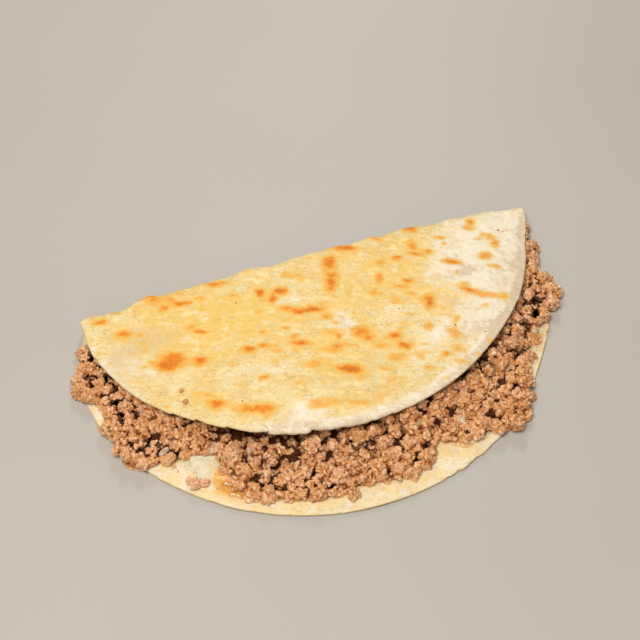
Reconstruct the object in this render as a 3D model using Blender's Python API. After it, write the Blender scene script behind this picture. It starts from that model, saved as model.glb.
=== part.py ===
"""Quesadilla: one flour tortilla folded over crumbled ground beef on a layer of melted cheese.

Units are metres, +Z is up and the food lies flat on Z = 0. The fold runs along X at the back
(+Y) and the open side faces -Y. The shapes are laid out round the centre of the tortilla's
lower half. At the end everything is moved so that the origin is the middle of the base of
the bounding box.
"""

import math

import bmesh
import bpy
from mathutils import Vector, noise

# Tortilla: 8 inches across, folded behind its middle, with the flap shorter than the lower half
LOWER_RADIUS = 0.1018
FLAP_RADIUS = 0.1000
FLAP_CENTRE = (0.0025, 0.0272)
SHEET = 0.0020
BEND_Y = 0.0133
FOLD_SHIFT = 0.0055
FOLD_SHIFT_START_Y = -0.0070
FOLD_NARROWING = 0.0022
EDGE_WAVE = 0.0009
EDGE_ROUNDING = 0.0005

# The space between the two halves
GAP_AT_LEFT_END = 0.0040
GAP_AT_RIGHT_END = 0.0030
GAP_AT_FOLD = 0.0080
FLAP_RISE = 0.0045
FLAP_RISE_LENGTH = 0.0450
LIP_DROP = 0.0015
LIP_DROP_START = 0.0550
LIP_DROP_END = 0.0880
FLAP_WAVE = 0.0006
FLAP_WAVE_LENGTH = 0.0300

# Melted cheese on the lower half, with the pool of it that shows at the front left, as
# (direction in degrees from +X, half width in degrees, distance that it stands out)
CHEESE_THICKNESS = 0.0012
CHEESE_RADIUS = 0.0870
CHEESE_BACK_Y = 0.0050
CHEESE_POOL = ((230, 13, 0.0095),)

# Beef: a heap that spills out at the fold's two ends, with its lobes given in the same way
BEEF_RADIUS = 0.0985
BEEF_BACK_Y = 0.0125
BEEF_LOBES = (
    (169, 5, -0.0090),
    (186, 8, 0.0065),
    (208, 8, 0.0090),
    (226, 7, -0.0130),
    (267, 6, -0.0045),
    (288, 5, -0.0085),
    (308, 8, 0.0090),
    (343, 9, 0.0095),
    (363, 8, 0.0085),
    (374, 5, -0.0060),
)
BEEF_CREST = 0.0125
BEEF_END_HEIGHT = 0.0085
BEEF_TOE_HEIGHT = 0.0075
BEEF_SLOPE_LENGTH = 0.0280
BEEF_TOE_SHARE = 0.07
LUMP_SIZE = 0.0090
LUMP_DEPTH = 0.0032

# The hollow in the heap under the flap's lip, at the front left
HOLLOW_X = -0.0450
HOLLOW_HALF_LENGTH = 0.0400
HOLLOW_HALF_WIDTH = 0.0060
HOLLOW_DEPTH = 0.0030

# The point under the heap that its rings close in on
HEAP_MIDDLE = Vector((0.0, -0.0350))

CLEARANCE = 0.0003

# How finely the sheet is divided
COLUMNS = 30
LOWER_ROWS = 20
BEND_ROWS = 8
FLAP_ROWS = 16


def smoothstep(low, high, value):
    share = min(1.0, max(0.0, (value - low) / (high - low)))
    return share * share * (3 - 2 * share)


def bump(value, middle, half_width):
    """1 at the middle, falling away smoothly to either side."""
    return math.exp(-(((value - middle) / half_width) ** 2))


def chord(radius, offset):
    """Half the width of a circle at this distance from its centre."""
    return math.sqrt(max(0.0, radius * radius - offset * offset))


def with_lobes(radius, lobes, angle):
    return radius + sum(out * bump(angle, middle, half) for middle, half, out in lobes)


# ---- the tortilla's form ----


def middle_share(x):
    """1 at the middle of the fold and 0 at its two ends."""
    return 1 - min(1.0, abs(x - FOLD_SHIFT) / LOWER_RADIUS) ** 2.5


def fold_gap(x):
    """Height of the space between the two halves at the fold."""
    at_end = GAP_AT_LEFT_END if x < FOLD_SHIFT else GAP_AT_RIGHT_END
    return at_end + (GAP_AT_FOLD - at_end) * middle_share(x)


def flap_underside(x, y):
    """Height of the flap's lower face: it rises from the fold and droops towards its lip."""
    forward = BEND_Y - y
    rise = FLAP_RISE * smoothstep(0, FLAP_RISE_LENGTH, forward)
    drop = LIP_DROP * smoothstep(LIP_DROP_START, LIP_DROP_END, forward)
    wave = noise.noise(Vector((x, y, 0)) / FLAP_WAVE_LENGTH) * smoothstep(0, 0.02, forward)
    return SHEET + fold_gap(x) + middle_share(x) * (rise - drop + FLAP_WAVE * wave)


def flat_place(u, v, reach, radius, centre, narrowing):
    """Spreads a point of the square from -1 to 1 over one half of the sheet, which runs for
    reach forward of the bend and ends in a circle. The square's grid becomes a disc's."""
    across = u * math.sqrt(1 - v * v / 2)
    forward = v * math.sqrt(1 - u * u / 2)
    y = BEND_Y - reach * forward
    if forward > 1 - 1e-9:
        widest = math.sqrt(radius * reach)
    else:
        widest = chord(radius, y - centre[1]) / math.sqrt(1 - forward * forward)
    at_fold = smoothstep(FOLD_SHIFT_START_Y, BEND_Y, y)
    shift = centre[0] + (FOLD_SHIFT - centre[0]) * at_fold
    return shift + across * (widest - narrowing * at_fold), y


def edge_stretch(x, y):
    """Moves the edge in and out a little, as a hand-stretched tortilla isn't a true circle."""
    angle = math.atan2(y, x)
    wave = 0.6 * math.sin(3 * angle) + math.sin(5 * angle + 2.0) + 0.4 * math.sin(11 * angle)
    return 1 + wave * EDGE_WAVE / LOWER_RADIUS


def lower_point(u, v):
    x, y = flat_place(u, v, LOWER_RADIUS + BEND_Y, LOWER_RADIUS, (0, 0), FOLD_NARROWING)
    return Vector((x * edge_stretch(x, y), y, SHEET / 2))


def flap_point(u, v):
    reach = FLAP_RADIUS + BEND_Y - FLAP_CENTRE[1]
    x, y = flat_place(u, v, reach, FLAP_RADIUS, FLAP_CENTRE, 0)
    return Vector((x * edge_stretch(x, y), y, flap_underside(x, y) + SHEET / 2))


def bend_point(u, share):
    """A point round the bend, from 0 at the lower half to 1 at the flap."""
    x = lower_point(u, 0).lerp(flap_point(u, 0), share).x
    radius = (fold_gap(x) + SHEET) / 2
    angle = math.pi * share
    return Vector((x, BEND_Y + radius * math.sin(angle), SHEET / 2 + radius * (1 - math.cos(angle))))


def sheet_grid():
    """Rows of points of the folded sheet, from the lower half's front round to the lip."""
    across = [2 * column / COLUMNS - 1 for column in range(COLUMNS + 1)]
    lower = [[lower_point(u, 1 - row / LOWER_ROWS) for u in across] for row in range(LOWER_ROWS)]
    bend = [[bend_point(u, row / BEND_ROWS) for u in across] for row in range(BEND_ROWS)]
    flap = [[flap_point(u, row / FLAP_ROWS) for u in across] for row in range(FLAP_ROWS + 1)]
    return lower + bend + flap


def is_flat(face):
    """Whether a face of the sheet lies in the flat of the lower half, clear of the bend."""
    return all(v.co.z < SHEET / 2 + 1e-7 and v.co.y < BEND_Y - 1e-7 for v in face.verts)


def make_tortilla(material):
    mesh = bmesh.new()
    grid = [[mesh.verts.new(point) for point in row] for row in sheet_grid()]
    for near, far in zip(grid, grid[1:]):
        for column in range(COLUMNS):
            mesh.faces.new((near[column], near[column + 1], far[column + 1], far[column]))
    bmesh.ops.recalc_face_normals(mesh, faces=mesh.faces)
    bmesh.ops.dissolve_faces(mesh, faces=[face for face in mesh.faces if is_flat(face)])
    bmesh.ops.triangulate(mesh, faces=[face for face in mesh.faces if len(face.verts) == 4])

    tortilla = new_object("tortilla", mesh, material)
    solidify = tortilla.modifiers.new("Sheet thickness", "SOLIDIFY")
    solidify.thickness = SHEET
    solidify.offset = 0
    solidify.use_even_offset = True
    bevel = tortilla.modifiers.new("Rounded edge", "BEVEL")
    bevel.width = EDGE_ROUNDING
    bevel.segments = 1
    bevel.limit_method = "ANGLE"
    bevel.angle_limit = math.radians(60)
    return tortilla


# ---- the filling ----


def outline_end(radius_at, back_y):
    """Direction past 360 degrees in which an outline meets the straight line of its back."""
    low, high = 360.0, 400.0
    for _ in range(40):
        middle = (low + high) / 2
        if radius_at(middle) * math.sin(math.radians(middle)) < back_y:
            low = middle
        else:
            high = middle
    return low


def filling_outline(radius_at, back_y, front_steps, back_steps):
    """Points round a filling: the arc of its front, and straight back along the fold."""
    right = outline_end(radius_at, back_y)
    left = 540 - outline_end(lambda angle: radius_at(540 - angle), back_y)
    points = []
    for i in range(front_steps + 1):
        angle = left + (right - left) * i / front_steps
        turn = math.radians(angle)
        points.append(Vector((math.cos(turn), math.sin(turn))) * radius_at(angle))
    start, end = points[-1], points[0]
    points += [start.lerp(end, i / back_steps) for i in range(1, back_steps)]
    return points


def grown(outline, distance):
    """The outline moved outwards, for the room that a neighbour leaves round it."""
    return [at + (at - HEAP_MIDDLE).normalized() * distance for at in outline]


def make_slab(name, outline, bottom, top, material):
    """A flat layer with upright sides."""
    mesh = bmesh.new()
    face = mesh.faces.new([mesh.verts.new((at.x, at.y, bottom)) for at in outline])
    raised = bmesh.ops.extrude_face_region(mesh, geom=[face])["geom"]
    corners = [item for item in raised if isinstance(item, bmesh.types.BMVert)]
    bmesh.ops.translate(mesh, verts=corners, vec=(0, 0, top - bottom))
    bmesh.ops.recalc_face_normals(mesh, faces=mesh.faces)
    return new_object(name, mesh, material)


def cheese_outline():
    def radius_at(angle):
        return with_lobes(CHEESE_RADIUS, CHEESE_POOL, angle)

    return filling_outline(radius_at, CHEESE_BACK_Y, 60, 1)


def make_cheese(material):
    bottom = SHEET + CLEARANCE
    cheese = make_slab("cheese", cheese_outline(), bottom, bottom + CHEESE_THICKNESS, material)
    bevel = cheese.modifiers.new("Melted edge", "BEVEL")
    bevel.width = CHEESE_THICKNESS * 0.4
    bevel.segments = 1
    bevel.limit_method = "ANGLE"
    bevel.angle_limit = math.radians(60)
    return cheese


def between_lumps(x, y):
    """0 on top of a lump of beef and 1 in the crease between two."""
    distances, _ = noise.voronoi(Vector((x, y, 0)) / LUMP_SIZE)
    return min(1.0, 1.6 * distances[0] ** 2)


def heap_height(at, share):
    """Height of the heap: close under the flap, then sloping from its lip to the outline."""
    lip_y = FLAP_CENTRE[1] - chord(FLAP_RADIUS, at.x - FLAP_CENTRE[0])
    forward = lip_y - at.y
    under_flap = flap_underside(at.x, at.y) - CLEARANCE
    side = min(1.0, abs(at.x) / LOWER_RADIUS)
    crest = BEEF_CREST + (BEEF_END_HEIGHT - BEEF_CREST) * side ** 3
    in_open = crest + (BEEF_TOE_HEIGHT - crest) * smoothstep(0, BEEF_SLOPE_LENGTH, forward)
    in_open -= LUMP_DEPTH * between_lumps(at.x, at.y)
    if abs(at.x - FLAP_CENTRE[0]) < FLAP_RADIUS:
        exposed = smoothstep(-0.002, 0.003, forward)
        in_open = under_flap + (min(in_open, under_flap) - under_flap) * exposed
    in_open -= (
        HOLLOW_DEPTH
        * bump(at.x, HOLLOW_X, HOLLOW_HALF_LENGTH)
        * bump(forward, 0, HOLLOW_HALF_WIDTH)
    )
    towards_toe = max(0.0, (share - 1 + BEEF_TOE_SHARE) / BEEF_TOE_SHARE)
    return in_open * math.sqrt(max(0.04, 1 - towards_toe ** 2))


def make_heap(material):
    """The whole heap, from the plate up to the flap."""
    def radius_at(angle):
        return with_lobes(BEEF_RADIUS, BEEF_LOBES, angle)

    outline = filling_outline(radius_at, BEEF_BACK_Y, 120, 34)
    shares = (0.2, 0.4, 0.52, 0.58, 0.64, 0.70, 0.75, 0.79, 0.83, 0.87, 0.91, 0.945, 0.975, 1.0)
    mesh = bmesh.new()
    middle = mesh.verts.new((*HEAP_MIDDLE, heap_height(HEAP_MIDDLE, 0)))
    rings = []
    for share in shares:
        points = [HEAP_MIDDLE.lerp(at, share) for at in outline]
        rings.append([mesh.verts.new((at.x, at.y, heap_height(at, share))) for at in points])
    base = [mesh.verts.new((at.x, at.y, 0)) for at in outline]
    rings.append(base)
    for i in range(len(outline)):
        after = (i + 1) % len(outline)
        mesh.faces.new((middle, rings[0][i], rings[0][after]))
        for inner, outer in zip(rings, rings[1:]):
            mesh.faces.new((inner[i], outer[i], outer[after], inner[after]))
    mesh.faces.new(base[::-1])
    bmesh.ops.recalc_face_normals(mesh, faces=mesh.faces)
    return new_object("beef", mesh, material)


def lower_outline():
    """Outline of the tortilla's lower half, closed straight across at the bend."""
    rows = sheet_grid()[:LOWER_ROWS + 1]
    right = [row[-1].xy for row in rows[1:]]
    left = [row[0].xy for row in reversed(rows[1:])]
    return [point.xy for point in rows[0]] + right + left


def make_beef(material):
    """The heap, with room cut out under it for the tortilla and the cheese."""
    beef = make_heap(material)
    on_sheet = SHEET + CLEARANCE
    on_cheese = on_sheet + CHEESE_THICKNESS + CLEARANCE
    rooms = (
        make_slab("tortilla_room", grown(lower_outline(), CLEARANCE), -0.001, on_sheet, material),
        make_slab("cheese_room", grown(cheese_outline(), CLEARANCE), 0.001, on_cheese, material),
    )
    for room in rooms:
        room.hide_render = True
        room.display_type = "WIRE"
        cut = beef.modifiers.new(room.name, "BOOLEAN")
        cut.operation = "DIFFERENCE"
        cut.solver = "EXACT"
        cut.object = room
    return beef, *rooms


# ---- scene ----


def new_object(name, mesh, material):
    data = bpy.data.meshes.new(name)
    mesh.to_mesh(data)
    mesh.free()
    data.materials.append(material)
    data.shade_smooth()
    data.set_sharp_from_angle(angle=math.radians(50))
    made = bpy.data.objects.new(name, data)
    bpy.context.scene.collection.objects.link(made)
    return made


def make_material(name, colour, roughness):
    material = bpy.data.materials.new(name)
    material.use_nodes = True
    shader = material.node_tree.nodes["Principled BSDF"]
    shader.inputs["Base Color"].default_value = (*colour, 1)
    shader.inputs["Roughness"].default_value = roughness
    shader.inputs["Metallic"].default_value = 0
    return material


def put_origin_under_middle(pieces):
    """Moves all the pieces so that the origin is the middle of the base of their box."""
    bpy.context.view_layer.update()
    graph = bpy.context.evaluated_depsgraph_get()
    shown = [piece.evaluated_get(graph) for piece in pieces if not piece.hide_render]
    corners = [Vector(corner) for piece in shown for corner in piece.bound_box]
    middle_x = (min(c.x for c in corners) + max(c.x for c in corners)) / 2
    middle_y = (min(c.y for c in corners) + max(c.y for c in corners)) / 2
    for piece in pieces:
        piece.location = (-middle_x, -middle_y, 0)


def main():
    for leftover in list(bpy.data.objects):
        bpy.data.objects.remove(leftover)
    dough = make_material("toasted flour dough", (0.80, 0.62, 0.36), 0.6)
    meat = make_material("browned ground beef", (0.33, 0.16, 0.08), 0.45)
    cheese = make_material("melted cheese", (0.85, 0.66, 0.30), 0.3)
    put_origin_under_middle([make_tortilla(dough), *make_beef(meat), make_cheese(cheese)])


main()
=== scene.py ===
# %% [markdown]
# # A beef quesadilla
# This notebook gives its looks to a folded flour tortilla with crumbled beef and melted cheese
# in it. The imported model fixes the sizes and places. Here every plain solid is replaced by a
# modelled piece with its own procedural material. All lengths are in metres, and `MM` turns
# millimetres into them.

import math

import bmesh
import bpy
import numpy as np
from mathutils import Matrix, Quaternion, Vector, bvhtree, noise


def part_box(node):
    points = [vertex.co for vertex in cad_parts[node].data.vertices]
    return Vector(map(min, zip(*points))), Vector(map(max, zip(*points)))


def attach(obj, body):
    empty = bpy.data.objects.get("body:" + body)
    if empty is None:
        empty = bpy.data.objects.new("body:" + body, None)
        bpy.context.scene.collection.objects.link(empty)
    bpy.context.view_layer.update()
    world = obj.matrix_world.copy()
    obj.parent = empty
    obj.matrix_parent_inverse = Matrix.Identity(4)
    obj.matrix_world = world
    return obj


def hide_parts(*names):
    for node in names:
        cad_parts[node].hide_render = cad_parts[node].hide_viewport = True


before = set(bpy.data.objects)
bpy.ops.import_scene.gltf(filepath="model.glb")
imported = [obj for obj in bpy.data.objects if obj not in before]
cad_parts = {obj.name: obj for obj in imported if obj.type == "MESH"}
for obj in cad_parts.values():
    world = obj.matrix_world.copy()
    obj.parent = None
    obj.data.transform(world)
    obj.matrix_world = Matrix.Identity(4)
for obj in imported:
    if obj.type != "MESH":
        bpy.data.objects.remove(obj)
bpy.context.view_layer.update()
MM = 0.001

# %% [markdown]
# ## The lengths that the dough follows
# The tortilla is 8 inches across. Its lower half is part of one circle and its flap part of
# another, because a tortilla folded by hand is never folded quite through its middle. All the
# shapes are laid out round the centre of the lower half's circle, and `CENTRE` moves them to
# their place in the frame.

# %% Named sizes
LOWER_RADIUS = 101.8 * MM
FLAP_RADIUS = 100.0 * MM
FLAP_CENTRE = (2.5 * MM, 27.2 * MM)
SHEET = 2.0 * MM
BEND_Y = 13.3 * MM
FOLD_SHIFT = 5.5 * MM
FOLD_SHIFT_START_Y = -7.0 * MM
FOLD_NARROWING = 2.2 * MM
EDGE_WAVE = 0.9 * MM

GAP_AT_LEFT_END = 4.0 * MM
GAP_AT_RIGHT_END = 3.0 * MM
GAP_AT_FOLD = 8.0 * MM
FLAP_RISE = 4.5 * MM
FLAP_RISE_LENGTH = 45.0 * MM
LIP_DROP = 1.5 * MM
LIP_DROP_START = 55.0 * MM
LIP_DROP_END = 88.0 * MM

ABOVE_ALL = 0.1
DOWN = Vector((0, 0, -1))

low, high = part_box("tortilla")
CENTRE = Vector(((low.x + high.x) / 2 - FLAP_CENTRE[0], low.y + LOWER_RADIUS, 0))
print("centre of the lower half (mm):", [round(value / MM, 2) for value in CENTRE])

# %% [markdown]
# ## Small tools
# The curves are worked out for whole arrays of points at once with numpy, which is much
# faster than one point at a time. `smooth` is a soft step from 0 to 1, and `bump` a soft hill.
# `ripple` is the noise that makes every edge and surface of the food a little irregular.


# %% Curves and noise for arrays
def smooth(start, end, value):
    """0 up to start, 1 from end on, and a soft step between them."""
    share = np.clip((value - start) / (end - start), 0, 1)
    return share * share * (3 - 2 * share)


def bump(value, middle, half_width):
    """1 at the middle, falling away softly on either side."""
    return np.exp(-(((value - middle) / half_width) ** 2))


def chord(radius, offset):
    """Half the width of a circle at this distance from its centre."""
    return np.sqrt(np.maximum(0, radius * radius - offset * offset))


def ripple(x, y, size, seed, octaves=1, stretch=1.0):
    """Soft noise from about -1 to 1, whose bumps are about size across and longer along X
    by stretch."""
    flat = zip((x / (size * stretch)).ravel(), (y / size).ravel())
    if octaves == 1:
        made = [noise.noise(Vector((a, b, seed * 7.3))) for a, b in flat]
    else:
        made = [noise.fractal(Vector((a, b, seed * 7.3)), 0.8, 2.1, octaves) for a, b in flat]
    return np.array(made).reshape(x.shape)


print("a soft step is at", smooth(0, 1, 0.25), "after a quarter of its way")

# %% [markdown]
# Shaders and geometry trees are both networks of nodes. One helper serves them all: it adds a
# node, sets its properties, fills its inputs with numbers, colours or links, and hands back
# the output that the next node needs.

# %% Nodes and colours
MATH = "ShaderNodeMath"
VECTOR_MATH = "ShaderNodeVectorMath"
RANGE = "ShaderNodeMapRange"
MIX = "ShaderNodeMix"
NOISE = "ShaderNodeTexNoise"
COMBINE = "ShaderNodeCombineXYZ"
STORED = "ShaderNodeAttribute"
RANDOM = "FunctionNodeRandomValue"
MOVE = "GeometryNodeSetPosition"
STORE = "GeometryNodeStoreNamedAttribute"
DELETE = "GeometryNodeDeleteGeometry"
TO_GRID = "GeometryNodeMeshToSDFGrid"
JOIN_GRIDS = "GeometryNodeSDFGridBoolean"


def linear(hex_colour):
    """An sRGB hex colour as the linear RGBA that shaders work in."""
    parts = [int(hex_colour[i:i + 2], 16) / 255 for i in (1, 3, 5)]
    light = [c / 12.92 if c <= 0.04045 else ((c + 0.055) / 1.055) ** 2.4 for c in parts]
    return (*light, 1.0)


def add(tree, kind, inputs=None, out=0, **settings):
    """Adds a node and returns its output called out, or several when out is a tuple. inputs
    gives, by name or number, a value, a hex colour, an output to link, or a list of outputs.
    Only the sockets that the settings leave in use are counted."""
    made = tree.nodes.new(kind)
    for name, value in settings.items():
        setattr(made, name, value)
    sockets = [socket for socket in made.inputs if socket.enabled]
    for key, value in (inputs or {}).items():
        socket = sockets[key if isinstance(key, int) else [s.name for s in sockets].index(key)]
        if isinstance(value, (bpy.types.NodeSocket, list)):
            for output in value if isinstance(value, list) else [value]:
                tree.links.new(output, socket)
        elif isinstance(value, str) and value.startswith("#"):
            socket.default_value = linear(value)
        else:
            socket.default_value = value
    outputs = [socket for socket in made.outputs if socket.enabled]
    if not outputs:
        return made
    names = [socket.name for socket in outputs]
    keys = out if isinstance(out, tuple) else (out,)
    picked = [outputs[key if isinstance(key, int) else names.index(key)] for key in keys]
    return picked if isinstance(out, tuple) else picked[0]


def new_material(name):
    """A material with an empty tree, and its tree."""
    material = bpy.data.materials.new(name)
    material.use_nodes = True
    material.node_tree.nodes.clear()
    return material, material.node_tree


print("middle grey, #808080, has", round(linear("#808080")[0], 3), "of the light of white")

# %% [markdown]
# A piece is made from plain lists of points and faces. What its material has to know at each
# point, such as how brown the dough is there, is stored in the mesh as a named attribute, and
# an Attribute node in the material reads it. That follows the surface as a painted map would,
# and needs no unwrapping.

# %% Meshes
def new_piece(name, points, faces, material):
    """An object at the origin, from points round the centre of the tortilla's lower half."""
    mesh = bpy.data.meshes.new(name)
    mesh.from_pydata([tuple(point) for point in np.asarray(points) + np.array(CENTRE)], [], faces)
    mesh.materials.append(material)
    mesh.shade_smooth()
    mesh.validate()
    made = bpy.data.objects.new(name, mesh)
    bpy.context.scene.collection.objects.link(made)
    return made


def store(piece, name, values):
    """Keeps one number for each point of a piece, for its material to read."""
    attribute = piece.data.attributes.new(name, "FLOAT", "POINT")
    attribute.data.foreach_set("value", np.asarray(values, np.float32).ravel())


# %% [markdown]
# ## A plain studio
# Food is lit softly from above and a little from behind, which shows its relief and gives
# moist crumbs small bright glints. A wide light overhead does most of the work, a smaller one
# behind gives the glints, and the world fills the shadows. The floor is plain and pale.

# %% Camera, lights and floor
VIEW_FROM = Vector((-0.0872, -0.2649, 0.3992))
VIEW_ALONG = Vector((0.17551, 0.58586, -0.79118))
VIEW_ROLL = math.radians(-2.06)
FIELD_OF_VIEW = math.radians(30)
FLOOR_HALF = 2.5
WORLD_LIGHT = 0.25

lens = bpy.data.cameras.new("camera")
lens.angle = FIELD_OF_VIEW
lens.clip_start = 0.01
camera = bpy.data.objects.new("camera", lens)
turned = (-VIEW_ALONG).to_track_quat("Z", "Y") @ Quaternion((0, 0, 1), VIEW_ROLL)
camera.matrix_world = Matrix.LocRotScale(VIEW_FROM, turned, None)
bpy.context.scene.collection.objects.link(camera)
bpy.context.scene.camera = camera


def soft_light(name, place, size, watts, colour):
    """A round area light that shines at the origin."""
    light = bpy.data.lights.new(name, "AREA")
    light.shape = "DISK"
    light.size = size
    light.energy = watts
    light.color = linear(colour)[:3]
    made = bpy.data.objects.new(name, light)
    aimed = Vector(place).to_track_quat("Z", "Y")
    made.matrix_world = Matrix.LocRotScale(Vector(place), aimed, None)
    bpy.context.scene.collection.objects.link(made)


soft_light("overhead", (-0.25, -0.15, 1.0), size=0.6, watts=9.0, colour="#FFFCF8")
soft_light("glints", (0.25, 0.75, 0.55), size=0.18, watts=2.4, colour="#FFFFFF")
soft_light("front fill", (-0.5, -0.9, 0.6), size=0.8, watts=2.0, colour="#FFFBF6")

world = bpy.data.worlds.new("studio")
world.use_nodes = True
world.node_tree.nodes["Background"].inputs["Color"].default_value = linear("#FFFEFC")
world.node_tree.nodes["Background"].inputs["Strength"].default_value = WORLD_LIGHT
bpy.context.scene.world = world
bpy.context.scene.view_settings.view_transform = "Standard"

paint, paint_tree = new_material("pale floor")
floor_place = add(paint_tree, "ShaderNodeTexCoord", out="Object")
cloudy = add(paint_tree, NOISE, {"Vector": floor_place, "Scale": 6.0}, out="Fac")
floor_colour = add(paint_tree, MIX, {0: cloudy, 1: "#B8B2AA", 2: "#B1ABA2"}, data_type="RGBA")
matt = add(paint_tree, "ShaderNodeBsdfPrincipled", {"Base Color": floor_colour, "Roughness": 0.6})
add(paint_tree, "ShaderNodeOutputMaterial", {"Surface": matt})
floor_mesh = bpy.data.meshes.new("floor")
corners = [(x * FLOOR_HALF, y * FLOOR_HALF, 0) for x, y in ((-1, -1), (1, -1), (1, 1), (-1, 1))]
floor_mesh.from_pydata(corners, [], [(0, 1, 2, 3)])
floor_mesh.materials.append(paint)
floor = bpy.data.objects.new("floor", floor_mesh)
bpy.context.scene.collection.objects.link(floor)
print("camera is", round(VIEW_FROM.length, 3), "m from the origin")

# %% [markdown]
# ## The folded sheet
# A disc could be cut from a polar grid, but its cells shrink to slivers at the centre. Here a
# square grid is spread over the disc instead, so that all its cells are about the same size
# and its rows run straight along the fold. The flap is held up by the filling: it rises from
# the fold, droops at its lip, and comes down at both ends, where there is little beef.

# %% The sheet's form
FLAP_FULLNESS = 2.5
FLAP_WAVE = 0.6 * MM
FLAP_WAVE_SIZE = 30 * MM
FLAP_WAVE_START = 20 * MM


def middle_share(x):
    """1 in the middle of the fold and 0 at its two ends."""
    return 1 - np.minimum(1.0, np.abs(x - FOLD_SHIFT) / LOWER_RADIUS) ** FLAP_FULLNESS


def fold_gap(x):
    """The clear height inside the fold."""
    at_end = np.where(x < FOLD_SHIFT, GAP_AT_LEFT_END, GAP_AT_RIGHT_END)
    return at_end + (GAP_AT_FOLD - at_end) * middle_share(x)


def flap_underside(x, y):
    """The flap rises from the fold over the filling and droops towards its free lip."""
    forward = BEND_Y - y
    rise = FLAP_RISE * smooth(0, FLAP_RISE_LENGTH, forward)
    drop = LIP_DROP * smooth(LIP_DROP_START, LIP_DROP_END, forward)
    wave = FLAP_WAVE * ripple(x, y, FLAP_WAVE_SIZE, 0) * smooth(0, FLAP_WAVE_START, forward)
    return SHEET + fold_gap(x) + middle_share(x) * (rise - drop + wave)


def edge_stretch(x, y):
    """A factor close to 1 that pulls the disc out of round."""
    angle = np.arctan2(y, x)
    wave = 0.6 * np.sin(3 * angle) + np.sin(5 * angle + 2.0) + 0.4 * np.sin(11 * angle)
    return 1 + wave * EDGE_WAVE / LOWER_RADIUS


def spread(u, v, reach, radius, centre, narrowing):
    """Spreads a square grid over one half of the sheet. u runs along the fold from -1 to 1,
    v from 0 at the fold to 1 at the front. Also gives 1 at the rim and less inside it."""
    across = u * np.sqrt(1 - v * v / 2)
    forward = v * np.sqrt(1 - u * u / 2)
    y = BEND_Y - reach * forward
    # At the very front both lengths of this ratio shrink to nothing, so its limit is used there
    at_tip = forward > 1 - 1e-9
    half_width = chord(radius, y - centre[1]) / np.sqrt(np.maximum(1 - forward ** 2, 1e-12))
    half_width = np.where(at_tip, math.sqrt(radius * reach), half_width)
    at_fold = smooth(FOLD_SHIFT_START_Y, BEND_Y, y)
    shift = centre[0] + (FOLD_SHIFT - centre[0]) * at_fold
    x = shift + across * (half_width - narrowing * at_fold)
    return x * edge_stretch(x, y), y, np.sqrt(across ** 2 + forward ** 2)


fold_middle = np.array([FOLD_SHIFT])
print("the fold stands open by", (fold_gap(fold_middle)[0] / MM).round(2), "mm in its middle")

# %% [markdown]
# The mid-surface of the dough runs in rows from the front of the lower half, round the bend and
# forward over the flap to its free lip. The rows are closest together on the flap, because it
# fills most of the view.

# %% Rows and columns
COLUMNS = 228
LOWER_ROWS = 74
BEND_ROWS = 18
FLAP_ROWS = 106
across = np.linspace(-1, 1, COLUMNS + 1)


def lower_rows(ahead):
    """The lower half's points, in one row for each share of the way from fold to front."""
    u, v = np.meshgrid(across, ahead)
    reach = LOWER_RADIUS + BEND_Y
    x, y, from_middle = spread(u, v, reach, LOWER_RADIUS, (0, 0), FOLD_NARROWING)
    return x, y, np.full_like(x, SHEET / 2), from_middle


def flap_rows(ahead):
    """The flap's points, in rows as those of the lower half."""
    u, v = np.meshgrid(across, ahead)
    reach = FLAP_RADIUS + BEND_Y - FLAP_CENTRE[1]
    x, y, from_middle = spread(u, v, reach, FLAP_RADIUS, FLAP_CENTRE, 0)
    return x, y, flap_underside(x, y) + SHEET / 2, from_middle


def bend_rows(shares):
    """The half circle between the two, from 0 at the bottom to 1 at the top."""
    start_x, flap_x = lower_rows([0.0])[0], flap_rows([0.0])[0]
    share = np.array(shares)[:, None]
    x = start_x + (flap_x - start_x) * share
    radius = (fold_gap(x) + SHEET) / 2
    turn = math.pi * share
    y = BEND_Y + radius * np.sin(turn)
    z = SHEET / 2 + radius * (1 - np.cos(turn))
    return x, y, z, np.repeat(np.abs(across)[None, :], len(shares), axis=0)


parts = (
    lower_rows(1 - np.arange(LOWER_ROWS) / LOWER_ROWS),
    bend_rows(np.arange(BEND_ROWS) / BEND_ROWS),
    flap_rows(np.arange(FLAP_ROWS + 1) / FLAP_ROWS),
)
mid_x, mid_y, mid_z, from_middle = (np.vstack(rows) for rows in zip(*parts))
on_flap = np.zeros(len(mid_x), bool)
on_flap[LOWER_ROWS + BEND_ROWS:] = True
print("grid of the sheet:", mid_x.shape)


# %% [markdown]
# A hand-made sheet has no true circle for a rim. Noise that runs along the rim gives it small
# nicks, which come in ragged stretches and fade away inwards. A few cuts in the flap's lip are
# placed one by one, as (x, reach, depth) in millimetres: a cut starts sharply at x and fades
# over its reach, to the left where the reach is negative.

# %% Uneven rim
RIM_NICKS = 0.8 * MM
NICK_WIDTH = 5.0 * MM
NICK_SIZES = (4.5 * MM, 2.2 * MM)
RAGGED_STRETCH = 14 * MM
CALM_BY_FOLD = 10 * MM
LIP_CUTS = (
    (-61, 5, 0.8), (-51, 5, 0.9), (-36, -5, 1.1), (-21, 9, 1.3), (-69, 6, 0.6), (12, -7, 0.5),
)

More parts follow.
